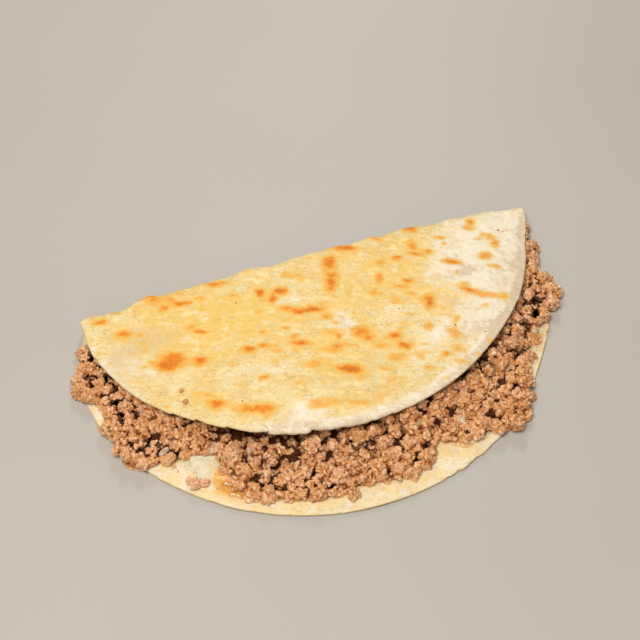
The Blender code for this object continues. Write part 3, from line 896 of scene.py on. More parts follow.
def stained_and_shaded_colour(tree, colour, patterns, wet, stain):
    """Charred specks, soaked dough, and the dark brown of fat stains and painted shade under the beef,
    over a colour.
    """
    place = add(tree, "ShaderNodeTexCoord", out="Object")
    near, cell = add(tree, "ShaderNodeTexVoronoi", {"Vector": place, "Scale": 1 / SPECK_SPACING},
                     out=("Distance", "Color"))
    chosen = add(tree, MATH, {0: cell, 1: SPECKS_LEFT_OUT}, operation="GREATER_THAN")
    speck = add(tree, RANGE, {0: near, 1: 0.075, 2: 0.045, 4: chosen})
    soaked = weighed(tree, (wet, 1.0), (patterns["bubbles"], 0.7), (patterns["fibres"], 0.5),
                    (-0.6, 1))
    soaked = add(tree, MATH, {0: soaked, 1: wet}, operation="MULTIPLY")
    return painted(
        tree, colour,
        ("#5A3A1E", speck, 0.0, 1.0, 0.85),
        ("#E6A63A", soaked, 0.0, 0.9, 0.88),
        (STAIN_AND_SHADE_COLOUR, stain, 0.0, 0.9, 0.92),
    )


# %% Material of the tortilla
GRAIN_DEPTH = 0.4 * MM
LIGHT_REACH = 1.5 * MM


def dough_material():
    """Griddled dough is matt, and a little glossier where butter or juice soaked in. Light
    enters it by a millimetre or two and comes out warmer, which softens its shadows."""
    material, tree = new_material("griddled flour dough")
    toast, butter, flour, grey, wet, stain = (
        add(tree, STORED, out="Fac", attribute_name=name)
        for name in ("toast", "butter", "flour", "grey", "wet", "stain"))
    patterns = dough_patterns(tree)
    colour = dough_colour(tree, patterns, butter, flour, grey)
    colour = browned_colour(tree, colour, patterns, toast)
    colour = stained_and_shaded_colour(tree, colour, patterns, wet, stain)

    crumb, fibres, bubbles = (patterns[name] for name in ("crumb", "fibres", "bubbles"))
    height = weighed(tree, (crumb, 0.35), (bubbles, 0.9), (fibres, 0.8))
    grain = add(tree, "ShaderNodeBump", {
        "Height": height, "Strength": 0.7, "Distance": GRAIN_DEPTH})
    roughness = weighed(tree, (0.64, 1), (butter, -0.08), (wet, -0.30), (crumb, 0.08))
    shader = add(tree, "ShaderNodeBsdfPrincipled", {
        "Base Color": colour, "Roughness": roughness, "Normal": grain, "IOR": 1.45,
        "Specular IOR Level": 0.35, "Subsurface Weight": 0.12,
        "Subsurface Radius": (1.0, 0.55, 0.25), "Subsurface Scale": LIGHT_REACH,
    })
    add(tree, "ShaderNodeOutputMaterial", {"Surface": shader})
    return material


dough = dough_material()
print(dough.name, "has", len(dough.node_tree.nodes), "nodes")

# %% [markdown]
# Every finished piece goes through the same last steps: it rides on the one body of the model,
# and it stands for a plain solid.

# %% Finishing a piece
def repair_normals(piece):
    """Turns all faces of a closed piece outwards."""
    mesh = bmesh.new()
    mesh.from_mesh(piece.data)
    bmesh.ops.recalc_face_normals(mesh, faces=mesh.faces)
    mesh.to_mesh(piece.data)
    mesh.free()


def place_on_frame(piece, node):
    """Lets a piece ride on the frame instead of a node."""
    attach(piece, "root")
    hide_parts(node)
    print(piece.name, "triangles:", sum(len(face.vertices) - 2 for face in piece.data.polygons))


# %% [markdown]
# Where beef lies on dough or cheese, its fat stains them and painted shade darkens them, so the
# gaps between the clumps look dark brown instead of pale dough. Rays sent straight down tell
# whether the beef is above a point. Each point is tested at three steps outwards from the middle
# of the heap, so the brown fades out just inside the beef's outline.

# %% Where the beef stains and shades what lies under it
HEAP_MIDDLE = CENTRE + Vector((0, -35 * MM, 0))
HEAP_RADIUS = 98.5 * MM
STAIN_AND_SHADE_STEPS = (1.5 * MM, 3.0 * MM, 4.5 * MM)


def to_cast_rays_at(piece):
    """The piece's surface in the form that rays are tested on."""
    return bvhtree.BVHTree.FromObject(piece, bpy.context.evaluated_depsgraph_get())


plain_beef = to_cast_rays_at(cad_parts["beef"])


def under_beef(x, y):
    """0 beside the beef, 1 well under it, for places given from the centre."""
    share = np.zeros(x.size)
    for i, place in enumerate(zip(x.ravel() + CENTRE.x, y.ravel() + CENTRE.y)):
        out = (Vector(place) - HEAP_MIDDLE.xy) / HEAP_RADIUS
        for step in STAIN_AND_SHADE_STEPS:
            start = Vector(place) + out * step
            hit = plain_beef.ray_cast(Vector((*start, ABOVE_ALL)), DOWN)[0]
            share[i] += bool(hit) / len(STAIN_AND_SHADE_STEPS)
    return share.reshape(x.shape)


zero = np.zeros_like(mid_x)
stain = zero.copy()
stain[:LOWER_ROWS] = under_beef(mid_x[:LOWER_ROWS], mid_y[:LOWER_ROWS])
print("stained share of the lower half:", stain[:LOWER_ROWS].mean().round(3))

# %% [markdown]
# The strip of dough in front of the beef is the part of the inner side that shows. Juice ran
# out onto it in wet patches, and it browned a little in golden ones. Both lists are as those of
# the butter and flour.

# %% The tortilla
WET = (
    (31, -84, 9, 4, 0.35), (-53, -81, 10, 8, 1.0), (-33, -87, 6, 3, 0.7), (-4, -89, 24, 3.5, 0.6),
    (84, -52, 6, 14, 0.6), (62, -72, 10, 5, 0.5), (-66, -67, 7, 4, 0.5), (96, -20, 4, 16, 0.4),
    (-60, -78, 7, 3, 0.5), (-42, -89, 8, 3, 0.35), (-20, -93, 7, 2.5, 0.3), (-75, -60, 3, 4, 0.3),
)
GOLDEN = (
    (-60, -82, 6, 3, 0.5), (-45, -90, 10, 4, 0.6), (-25, -95, 14, 3, 0.5), (10, -96, 20, 3, 0.4),
    (45, -88, 16, 6, 0.9), (60, -78, 8, 5, 0.6), (90, -40, 5, 14, 0.4), (-90, -38, 4, 8, 0.3),
)
DRY_STRIP = (16 * MM, 24 * MM)
INNER_GOLD = 0.34
INNER_FLOUR = 0.31
INNER_BROWNING = 0.12

tortilla = new_piece("tortilla_sheet", sheet_points, faces, dough)
repair_normals(tortilla)
under_filling = smooth(*DRY_STRIP, to_rim)
wet = np.clip(patches(mid_x, mid_y, WET) + under_filling, 0, 1) * is_lower
golden = np.clip(INNER_GOLD + patches(mid_x, mid_y, GOLDEN), 0, 1)
for label, outer_values, inner_values in (
    ("toast", toast, INNER_BROWNING * toast), ("butter", butter, golden * is_lower),
    ("stain", zero, stain), ("flour", flour, INNER_FLOUR + zero), ("grey", grey, zero),
    ("wet", zero, wet),
):
    store(tortilla, label, over_sheet(outer_values, inner_values))
place_on_frame(tortilla, "tortilla")

# %% [markdown]
# ## Crumbled beef
# Minced beef fries into clumps of 5 to 12 mm, and each clump is a knot of soft granules of 1.5
# to 2.5 mm. Between the clumps are dark gaps. Clumps could be scattered as copies of a few
# models, but then most of their faces would lie hidden inside the pile. Here the clumps and
# their granules become one signed distance grid, and one skin is drawn round all of them, so
# every triangle is on the outside.
#
# The model's plain heap gives the outline and the height. Three shrunken copies of it come
# first: the upper clumps start from one and the lower clumps from the next, and the last is a
# solid core that closes the view between them.

# %% The heap that the beef fills
SAME_PLACE = 1e-6

heap = bmesh.new()
heap.from_mesh(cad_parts["beef"].data)
bmesh.ops.remove_doubles(heap, verts=heap.verts, dist=SAME_PLACE)
bmesh.ops.recalc_face_normals(heap, faces=heap.faces)
open_edges = sum(not edge.is_manifold for edge in heap.edges)
print("heap:", len(heap.faces), "faces,", open_edges, "open edges")


def shrunk_heap(name, inset, lowered, share, base):
    """The heap drawn in from its outline, with its top lowered by lowered and then to share
    of its height over base."""
    smaller = heap.copy()
    for vert in smaller.verts:
        vert.co.xy = HEAP_MIDDLE.xy + (vert.co.xy - HEAP_MIDDLE.xy) * (1 - inset / HEAP_RADIUS)
        above = max(0, vert.co.z - lowered - base) * share
        vert.co.z = base + above
    made = bpy.data.meshes.new(name)
    smaller.to_mesh(made)
    smaller.free()
    made = bpy.data.objects.new(name, made)
    bpy.context.scene.collection.objects.link(made)
    return made


whole_heap = bpy.data.meshes.new("heap")
heap.to_mesh(whole_heap)
clump_room = shrunk_heap("clump_room", inset=3.2 * MM, lowered=2.6 * MM, share=1.0,
                         base=SHEET + 1.2 * MM)
lower_room = shrunk_heap("lower_room", inset=4.6 * MM, lowered=3.8 * MM, share=0.66,
                         base=SHEET + 1.7 * MM)
core = shrunk_heap("beef_core", inset=7.0 * MM, lowered=3.5 * MM, share=0.5,
                   base=SHEET + 1.9 * MM)
heap.free()

# %% [markdown]
# A geometry tree runs as a modifier, but a piece that rides on the frame is a plain mesh. So
# `new_tree` makes a tree with named inputs, and `grow` sets them, runs the tree on a mesh and
# keeps only the result.

# %% Geometry trees
def new_tree(name, inputs):
    """A geometry tree with named inputs, given as {name: (socket type, value)}."""
    tree = bpy.data.node_groups.new(name, "GeometryNodeTree")
    tree.is_modifier = True
    tree.interface.new_socket("Geometry", in_out="INPUT", socket_type="NodeSocketGeometry")
    for label, (kind, value) in inputs.items():
        socket = tree.interface.new_socket(label, in_out="INPUT", socket_type="NodeSocket" + kind)
        if value is not None:
            socket.default_value = value
    tree.interface.new_socket("Geometry", in_out="OUTPUT", socket_type="NodeSocketGeometry")
    return tree, tree.nodes.new("NodeGroupInput").outputs


def grow(name, mesh, tree, **values):
    """Runs a tree on a mesh and returns the plain object that it makes."""
    source = bpy.data.objects.new(name + "_source", mesh)
    bpy.context.scene.collection.objects.link(source)
    modifier = source.modifiers.new("grow", "NODES")
    modifier.node_group = tree
    labels = {item.name: item.identifier for item in tree.interface.items_tree
              if item.in_out == "INPUT"}
    for label, value in values.items():
        modifier[labels[label.replace("_", " ")]] = value
    grown = source.evaluated_get(bpy.context.evaluated_depsgraph_get())
    made = bpy.data.objects.new(name, bpy.data.meshes.new_from_object(grown))
    bpy.data.objects.remove(source)
    bpy.context.scene.collection.objects.link(made)
    return made


# %% [markdown]
# The tree of the beef is built over the next seven cells, each of which adds some nodes. Its
# named inputs hold the sizes of clumps and granules and the stretch of the heap to make. Where
# a clump or granule differs from the next, it does so by one of the random values here, each
# with its own seed.

# %% Tree of the beef: inputs and random values
CRUMBLE_INPUTS = {
    "Clump spacing": ("Float", 5.5 * MM), "Lower spacing": ("Float", 3.8 * MM),
    "Smallest clump": ("Float", 1.7 * MM), "Largest clump": ("Float", 4.4 * MM),
    "Granule spacing": ("Float", 1.05 * MM), "Smallest granule": ("Float", 0.42 * MM),
    "Largest granule": ("Float", 0.95 * MM), "Under lip": ("Float", 11 * MM),
    "Gap": ("Float", 12.5 * MM), "From X": ("Float", -1.0), "To X": ("Float", 1.0),
    "Voxel": ("Float", 0.38 * MM), "Adaptivity": ("Float", 0.2), "Core": ("Object", None),
    "Clump room": ("Object", None), "Lower room": ("Object", None),
    "Seed": ("Int", 1), "Material": ("Material", None),
}
FULL_TURN = 2 * math.pi
CHANCES = (
    ("size", 0.0, 1.0, 5), ("length", 0.9, 1.35, 7), ("width", 0.8, 1.1, 8),
    ("height", 0.7, 1.0, 9), ("turn x", 0.0, FULL_TURN, 10), ("turn y", 0.0, FULL_TURN, 11),
    ("turn z", 0.0, FULL_TURN, 12), ("tone", 0.0, 1.0, 13), ("granule", 0.0, 1.0, 14),
    ("out", -0.4 * MM, 0.3 * MM, 15), ("sink", 0.0, 2.4 * MM, 17), ("grain", 0.0, 1.0, 16),
)
crumbling, given = new_tree("crumbled beef", CRUMBLE_INPUTS)
voxel = given["Voxel"]
position = add(crumbling, "GeometryNodeInputPosition")
normal = add(crumbling, "GeometryNodeInputNormal")
chance = {}
for label, lowest, highest, chance_seed in CHANCES:
    chance[label] = add(crumbling, RANDOM, {"Min": lowest, "Max": highest, "Seed": chance_seed},
                        data_type="FLOAT")
core_shape, upper_shape, lower_shape = (
    add(crumbling, "GeometryNodeObjectInfo", {"Object": given[label]}, out="Geometry")
    for label in ("Core", "Clump room", "Lower room"))
print("inputs:", len(CRUMBLE_INPUTS), "and random values:", len(chance))

# %% [markdown]
# Beef far under the flap is never seen, so it isn't made. `hiding` is the distance from the
# middle of the flap within which nothing is needed. Near one place on the left the beef stands
# back from the lip, so `Gap` moves that limit outwards there. The heap is made in six stretches
# along X, which keeps each piece light, so points beyond this stretch aren't wanted either.

# %% Tree of the beef: where no clump is wanted
FLAP_MIDDLE = (CENTRE.x + FLAP_CENTRE[0], CENTRE.y + FLAP_CENTRE[1], 0)
GAP_X = -44 * MM
GAP_REACH = 34 * MM
LOWER_GAP_SHARE = 0.4

x, y, z = add(crumbling, "ShaderNodeSeparateXYZ", {0: position}, out=("X", "Y", "Z"))
flat = add(crumbling, COMBINE, {0: x, 1: y})
from_flap = add(crumbling, VECTOR_MATH, {0: flat, 1: FLAP_MIDDLE}, operation="DISTANCE")
hiding = add(crumbling, MATH, {0: FLAP_RADIUS, 1: given["Under lip"]}, operation="SUBTRACT")
off_left = add(crumbling, MATH, {0: x, 1: given["From X"]}, operation="LESS_THAN")
off_right = add(crumbling, MATH, {0: x, 1: given["To X"]}, operation="GREATER_THAN")
gap = add(crumbling, MATH, {0: x, 1: CENTRE.x + GAP_X}, operation="SUBTRACT")
gap = add(crumbling, MATH, {0: gap}, operation="ABSOLUTE")
gap = add(crumbling, RANGE, {0: gap, 1: 0.4 * GAP_REACH, 2: GAP_REACH, 3: given["Gap"], 4: 0.0})
upper_edge = weighed(crumbling, (hiding, 1), (gap, 1))
lower_edge = weighed(crumbling, (hiding, 1), (gap, LOWER_GAP_SHARE))
facing = add(crumbling, "ShaderNodeSeparateXYZ", {0: normal}, out="Z")
faces_down = add(crumbling, MATH, {0: facing, 1: -0.5}, operation="LESS_THAN")
print("nodes so far:", len(crumbling.nodes))

# %% [markdown]
# The clumps lie in two layers: big ones a little inside the heap's surface, and smaller ones on
# the core, which show through the gaps. Poisson spacing keeps them from bunching up. Small
# clumps are the commonest. Each sinks by a random depth, so the top of the heap is rough. The
# undersides of both shapes go first, because points on them would crowd out those above.

# %% Tree of the beef: two layers of places
MOST_CLUMPS_PER_M2 = 900000.0
SMALL_CLUMPS_COMMON = 1.4
CLUMP_RISE = 2.0 * MM
SINKS_BY_SIZE = -0.75
LAYERS = (
    (upper_shape, "Clump spacing", 1.0, upper_edge), (lower_shape, "Lower spacing", 0.75, lower_edge),
)
layers = []
for layer_number, (shape, spacing, scale, edge) in enumerate(LAYERS):
    upper = add(crumbling, DELETE, {
        "Geometry": shape, "Selection": faces_down}, domain="FACE")
    layer_seed = add(crumbling, MATH, {0: given["Seed"], 1: float(layer_number)}, operation="ADD")
    places, off_surface = add(crumbling, "GeometryNodeDistributePointsOnFaces", {
        "Mesh": upper, "Distance Min": given[spacing], "Density Max": MOST_CLUMPS_PER_M2,
        "Seed": layer_seed}, out=("Points", "Normal"), distribute_method="POISSON")
    size = add(crumbling, MATH, {0: chance["size"], 1: SMALL_CLUMPS_COMMON}, operation="POWER")
    size = add(crumbling, RANGE, {
        0: size, 3: given["Smallest clump"], 4: given["Largest clump"]})
    size = add(crumbling, MATH, {0: size, 1: scale}, operation="MULTIPLY")
    places = add(crumbling, STORE, {"Geometry": places, "Name": "size", "Value": size},
                 data_type="FLOAT", domain="POINT")
    sunk = add(crumbling, MATH, {0: size, 1: SINKS_BY_SIZE, 2: CLUMP_RISE},
               operation="MULTIPLY_ADD")
    sunk = add(crumbling, MATH, {0: sunk, 1: chance["sink"]}, operation="SUBTRACT")
    sunk = add(crumbling, MATH, {0: sunk, 1: scale}, operation="MULTIPLY")
    sunk = add(crumbling, VECTOR_MATH, {0: off_surface, "Scale": sunk}, operation="SCALE")
    places = add(crumbling, MOVE, {"Geometry": places, "Offset": sunk})
    hidden = add(crumbling, MATH, {0: from_flap, 1: edge}, operation="LESS_THAN")
    unwanted = weighed(crumbling, (hidden, 1), (off_left, 1), (off_right, 1))
    layers.append(add(crumbling, DELETE, {
        "Geometry": places, "Selection": unwanted}, domain="POINT"))
centres = add(crumbling, "GeometryNodeJoinGeometry", {0: layers})
print("nodes so far:", len(crumbling.nodes))

# %% [markdown]
# A clump is a ball, stretched and turned at random and dented by noise. Its granules stand on
# it, packed as closely as their spacing lets them. As points they cost next to nothing, because
# the grid later turns each point into a small ball by its radius alone.

# %% Tree of the beef: clumps and granules
LUMP_SIZE = 3.5 * MM
LUMP_HEIGHT = 3.0 * MM
MOST_GRANULES_PER_M2 = 4000000.0
SMALL_GRANULES_COMMON = 1.5

size = add(crumbling, "GeometryNodeInputNamedAttribute", {"Name": "size"}, data_type="FLOAT")
stretch = add(crumbling, COMBINE, {0: chance["length"], 1: chance["width"], 2: chance["height"]})
stretch = add(crumbling, VECTOR_MATH, {0: stretch, "Scale": size}, operation="SCALE")
turn = add(crumbling, COMBINE, {0: chance["turn x"], 1: chance["turn y"], 2: chance["turn z"]})
turn = add(crumbling, "FunctionNodeEulerToRotation", {0: turn})
ball = add(crumbling, "GeometryNodeMeshIcoSphere", {"Radius": 1.0, "Subdivisions": 3})
clumps = add(crumbling, "GeometryNodeInstanceOnPoints", {
    "Points": centres, "Instance": ball, "Rotation": turn, "Scale": stretch})
clumps = add(crumbling, STORE, {"Geometry": clumps, "Name": "tone", "Value": chance["tone"]},
             data_type="FLOAT", domain="INSTANCE")
clumps = add(crumbling, "GeometryNodeRealizeInstances", {"Geometry": clumps})
lumpy = add(crumbling, NOISE, {"Vector": position, "Scale": 1 / LUMP_SIZE, "Detail": 1.0}, out="Fac")
lumpy = add(crumbling, MATH, {0: lumpy, 1: LUMP_HEIGHT, 2: -LUMP_HEIGHT / 2},
            operation="MULTIPLY_ADD")
lumpy = add(crumbling, VECTOR_MATH, {0: normal, "Scale": lumpy}, operation="SCALE")
clumps = add(crumbling, MOVE, {"Geometry": clumps, "Offset": lumpy})

granules, off_clump = add(crumbling, "GeometryNodeDistributePointsOnFaces", {
    "Mesh": clumps, "Distance Min": given["Granule spacing"],
    "Density Max": MOST_GRANULES_PER_M2, "Seed": given["Seed"]},
    out=("Points", "Normal"), distribute_method="POISSON")
out = add(crumbling, VECTOR_MATH, {0: off_clump, "Scale": chance["out"]}, operation="SCALE")
granules = add(crumbling, MOVE, {"Geometry": granules, "Offset": out})
radius = add(crumbling, MATH, {0: chance["granule"], 1: SMALL_GRANULES_COMMON}, operation="POWER")
radius = add(crumbling, RANGE, {
    0: radius, 3: given["Smallest granule"], 4: given["Largest granule"]})
granule_grid = add(crumbling, "GeometryNodePointsToSDFGrid", {
    "Points": granules, "Voxel Size": voxel, "Radius": radius})
print("nodes so far:", len(crumbling.nodes))

# %% [markdown]
# Clumps, granules and core join as grids. Before that, the core loses what the flap hides and
# what lies outside this stretch. After it, the dough and the plate are cut out of the beef, so
# it ends flat where it lies on them. Grids do this without the slivers and gaps that a Boolean
# modifier leaves on such a rough mesh.

# %% Tree of the beef: one skin round everything
SHEET_MARGIN = 0.5 * MM
SUNK_IN_SHEET = 0.1 * MM
HOLE_MARGIN = 2 * MM
SLAB_WIDTH, SLAB_HEIGHT = 0.5, 0.1
PLATE_SIZE = (0.24, 0.2, 0.02)
PLATE_TOP = 0.1 * MM

hole = add(crumbling, "GeometryNodeMeshCylinder", {
    "Vertices": 96, "Depth": 60 * MM,
    "Radius": add(crumbling, MATH, {0: hiding, 1: HOLE_MARGIN}, operation="ADD")})
hole = add(crumbling, "GeometryNodeTransform", {"Geometry": hole, "Translation": FLAP_MIDDLE})
length = add(crumbling, MATH, {0: given["To X"], 1: given["From X"]}, operation="SUBTRACT")
slab_x = weighed(crumbling, (given["From X"], 0.5), (given["To X"], 0.5))
slab = add(crumbling, "GeometryNodeMeshCube", {
    "Size": add(crumbling, COMBINE, {0: length, 1: SLAB_WIDTH, 2: SLAB_HEIGHT})})
slab = add(crumbling, "GeometryNodeTransform", {
    "Geometry": slab, "Translation": add(crumbling, COMBINE, {0: slab_x})})
under_dough = add(crumbling, "GeometryNodeMeshCylinder", {
    "Vertices": 128, "Radius": LOWER_RADIUS - SHEET_MARGIN, "Depth": 2 * (SHEET - SUNK_IN_SHEET)})
under_dough = add(crumbling, "GeometryNodeTransform", {
    "Geometry": under_dough, "Translation": CENTRE})
plate = add(crumbling, "GeometryNodeMeshCube", {"Size": PLATE_SIZE})
plate = add(crumbling, "GeometryNodeTransform", {
    "Geometry": plate,
    "Translation": (HEAP_MIDDLE.x, HEAP_MIDDLE.y, PLATE_TOP - PLATE_SIZE[2] / 2)})

clump_grid, core_grid, hole_grid, slab_grid, dough_grid, plate_grid = (
    add(crumbling, TO_GRID, {"Mesh": shape, "Voxel Size": voxel})
    for shape in (clumps, core_shape, hole, slab, under_dough, plate))
core_grid = add(crumbling, JOIN_GRIDS, {0: core_grid, 1: [hole_grid]}, operation="DIFFERENCE")
core_grid = add(crumbling, JOIN_GRIDS, {0: [core_grid, slab_grid]}, operation="INTERSECT")
union = add(crumbling, JOIN_GRIDS, {0: [granule_grid, clump_grid, core_grid]}, operation="UNION")
union = add(crumbling, JOIN_GRIDS, {0: union, 1: [dough_grid]}, operation="DIFFERENCE")
union = add(crumbling, JOIN_GRIDS, {0: union, 1: [plate_grid]}, operation="DIFFERENCE")
skin = add(crumbling, "GeometryNodeGridToMesh", {
    "Grid": union, "Threshold": 0.0, "Adaptivity": given["Adaptivity"]})
print("nodes so far:", len(crumbling.nodes))

# %% [markdown]
# The skin has forgotten what it was made from, so it asks again: each point takes the tone of
# the nearest clump and of the nearest granule. How deep a point lies in a crevice is how far it
# moves outwards when the skin is blurred. How deep it lies in the heap is the smaller of two
# distances to the plain heap's surface, one straight up and one to the nearest upper or side
# face. The core is only ever seen through a gap, so it counts as deep all over. The material
# paints shade by both depths, and a paler painted highlight where the skin stands out.

# %% Tree of the beef: tones and depths
CREVICE_BLUR = 16
CORE_DEPTH = 5 * MM
NEAR_CORE = (0.3 * MM, 0.9 * MM)

tone = add(crumbling, "GeometryNodeInputNamedAttribute", {"Name": "tone"}, data_type="FLOAT")
clump_tone = add(crumbling, "GeometryNodeSampleNearestSurface", {
    "Mesh": clumps, "Value": tone, "Sample Position": position}, data_type="FLOAT")
nearest = add(crumbling, "GeometryNodeSampleNearest", {
    "Geometry": granules, "Sample Position": position}, domain="POINT")
granule_tone = add(crumbling, "GeometryNodeSampleIndex", {
    "Geometry": granules, "Value": chance["grain"], "Index": nearest}, data_type="FLOAT")
blurred = add(crumbling, "GeometryNodeBlurAttribute", {
    "Value": position, "Iterations": CREVICE_BLUR}, data_type="FLOAT_VECTOR")
inward = add(crumbling, VECTOR_MATH, {0: blurred, 1: position}, operation="SUBTRACT")
crevice = add(crumbling, VECTOR_MATH, {0: inward, 1: normal}, operation="DOT_PRODUCT")

above = add(crumbling, COMBINE, {0: x, 1: y, 2: ABOVE_ALL})
hit, surface = add(crumbling, "GeometryNodeRaycast", {
    "Target Geometry": given["Geometry"], "Source Position": above,
    "Ray Direction": tuple(DOWN), "Ray Length": 1.0}, out=("Is Hit", "Hit Position"))
surface = add(crumbling, "ShaderNodeSeparateXYZ", {0: surface}, out="Z")
heap_depth = add(crumbling, MATH, {0: surface, 1: z}, operation="SUBTRACT")
heap_depth = add(crumbling, MATH, {0: heap_depth, 1: hit}, operation="MULTIPLY")
outside = add(crumbling, DELETE, {
    "Geometry": given["Geometry"], "Selection": faces_down}, domain="FACE")
inside = add(crumbling, "GeometryNodeProximity", {
    "Geometry": outside, "Sample Position": position}, out="Distance")
heap_depth = add(crumbling, MATH, {0: heap_depth, 1: inside}, operation="MINIMUM")
# Skin that touches the core counts as deep too, so painted shade falls where clumps meet it.
off_core = add(crumbling, "GeometryNodeProximity", {
    "Geometry": core_shape, "Sample Position": position}, out="Distance")
on_core = add(crumbling, RANGE, {
    0: off_core, 1: NEAR_CORE[0], 2: NEAR_CORE[1], 3: CORE_DEPTH, 4: 0.0})
heap_depth = add(crumbling, MATH, {0: heap_depth, 1: on_core}, operation="MAXIMUM")
for label, value in (
    ("tone", clump_tone), ("grain", granule_tone), ("crevice", crevice), ("depth", heap_depth),
):
    skin = add(crumbling, STORE, {"Geometry": skin, "Name": label, "Value": value},
               data_type="FLOAT", domain="POINT")
print("nodes so far:", len(crumbling.nodes))

# %% [markdown]
# A last warp at two sizes bends every granule a little, because torn meat has no true balls.

# %% Tree of the beef: warp and finish
WARPS = ((2.4 * MM, 2.0 * MM), (1.0 * MM, 1.1 * MM))

for size, amount in WARPS:
    shift = add(crumbling, NOISE, {"Vector": position, "Scale": 1 / size, "Detail": 1.0}, out="Color")
    shift = add(crumbling, VECTOR_MATH, {0: shift, 1: (0.5, 0.5, 0.5)}, operation="SUBTRACT")
    shift = add(crumbling, VECTOR_MATH, {0: shift, "Scale": amount}, operation="SCALE")
    skin = add(crumbling, MOVE, {"Geometry": skin, "Offset": shift})
skin = add(crumbling, "GeometryNodeSetShadeSmooth", {"Geometry": skin})
skin = add(crumbling, "GeometryNodeRealizeInstances", {"Geometry": skin})
skin = add(crumbling, "GeometryNodeSetMaterial", {"Geometry": skin, "Material": given["Material"]})
add(crumbling, "NodeGroupOutput", {0: skin})
print("the beef's tree has", len(crumbling.nodes), "nodes")

# %% [markdown]
# ## Fried mince
# Fried beef mince is greyish brown inside and pinkish tan where it browned only a little. Its
# granules are coarse and fibrous, and fat makes them shine in small sharp glints. The gaps
# between them hold hardly any light, so they get darker and duller with depth. Light and shade
# alone would leave the gaps too pale, so painted shade darkens the colour in crevices and deep
# in the heap, and a painted highlight makes what stands out paler.

# %% Material of the beef
FIBRE_SIZE = 0.6 * MM
MINCE_GRAIN_DEPTH = 0.55 * MM
DULL_DEPTHS = (2.0 * MM, 4.5 * MM)
CREVICE_EDGE = (-0.05 * MM, 0.12 * MM)


def beef_material():
    """Fried mince is rough, with a thin coat of fat that shines only on what stands out."""
    material, tree = new_material("fried beef mince")
    tone, own, crevice, depth = (
        add(tree, STORED, out="Fac", attribute_name=name)
        for name in ("tone", "grain", "crevice", "depth"))
    fibre = speckle(tree, FIBRE_SIZE, 3.0)
    patch = speckle(tree, 8 * MM, 1.0)
    rosy = weighed(tree, (speckle(tree, 5 * MM, 2.0), 1.0), (own, 0.25), (tone, 0.15))
    shade = weighed(tree, (tone, 0.45), (own, 0.4), (patch, 0.5), (-0.18, 1))
    colour = painted(
        tree, "#C9824A",
        ("#E6A464", shade, 0.12, 0.48, 1.0),
        ("#F8C491", shade, 0.48, 0.9, 0.95),
        ("#DA8E66", rosy, 0.72, 0.95, 0.5),
        ("#96562A", fibre, 0.45, 0.3, 0.6),
        # Painted light: paler where the skin stands out, darker in crevices and deep in the heap.
        ("#F8CDA2", crevice, -0.15 * MM, -0.55 * MM, 0.6),
        ("#94491A", crevice, -0.05 * MM, 0.17 * MM, 0.8),
        ("#682708", crevice, 0.10 * MM, 0.38 * MM, 0.88),
        ("#3E1203", depth, 2.0 * MM, 5.3 * MM, 0.94),
    )
    height = weighed(tree, (fibre, 1.0), (speckle(tree, 1.2 * MM, 2.0), 0.8))
    grain = add(tree, "ShaderNodeBump", {
        "Height": height, "Strength": 1.0, "Distance": MINCE_GRAIN_DEPTH})
    gloss = speckle(tree, 3 * MM, 1.0)
    roughness = add(tree, RANGE, {0: gloss, 1: 0.35, 2: 0.65, 3: 0.28, 4: 0.5})
    dull = add(tree, RANGE, {0: depth, 1: DULL_DEPTHS[0], 2: DULL_DEPTHS[1], 4: 0.45})
    fat = add(tree, RANGE, {0: depth, 1: DULL_DEPTHS[0], 2: DULL_DEPTHS[1], 3: 0.6, 4: 0.0})
    in_light = add(tree, RANGE, {
        0: crevice, 1: CREVICE_EDGE[0], 2: CREVICE_EDGE[1], 3: 1.0, 4: 0.1})
    fat = add(tree, MATH, {0: fat, 1: in_light}, operation="MULTIPLY")
    shader = add(tree, "ShaderNodeBsdfPrincipled", {
        "Base Color": colour, "Roughness": weighed(tree, (roughness, 1), (dull, 1)),
        "Normal": grain, "IOR": 1.45, "Specular IOR Level": 0.2,
        "Subsurface Weight": 0.05, "Subsurface Radius": (1.0, 0.35, 0.2),
        "Subsurface Scale": 0.6 * MM, "Coat Weight": fat, "Coat Roughness": 0.13,
    })
    add(tree, "ShaderNodeOutputMaterial", {"Surface": shader})
    return material


meat = beef_material()
print(meat.name, "has", len(meat.node_tree.nodes), "nodes")

# %% [markdown]
# Each stretch of the heap is grown by the same tree, with other ends, and becomes one piece.
# The warp may have pushed a granule a little through the dough, the plate or the flap, so every
# point is pressed back to the surface that it would lie against.

# %% The crumble
OFF_PLATE = 0.05 * MM
UNDER_FLAP = 0.5 * MM
LIP_OVERHANG = 0.2 * MM
SECTIONS = {
    "far_left": (-150 * MM, -72 * MM), "left": (-72 * MM, -30 * MM),
    "middle_left": (-30 * MM, 6 * MM), "middle_right": (6 * MM, 40 * MM),
    "right": (40 * MM, 72 * MM), "far_right": (72 * MM, 150 * MM),
}


def points_of(piece):
    """The piece's points as an array of rows."""
    place = np.zeros(len(piece.data.vertices) * 3)
    piece.data.vertices.foreach_get("co", place)
    return place.reshape(-1, 3)


def move_points(piece, place):
    piece.data.vertices.foreach_set("co", place.ravel())
    piece.data.update()


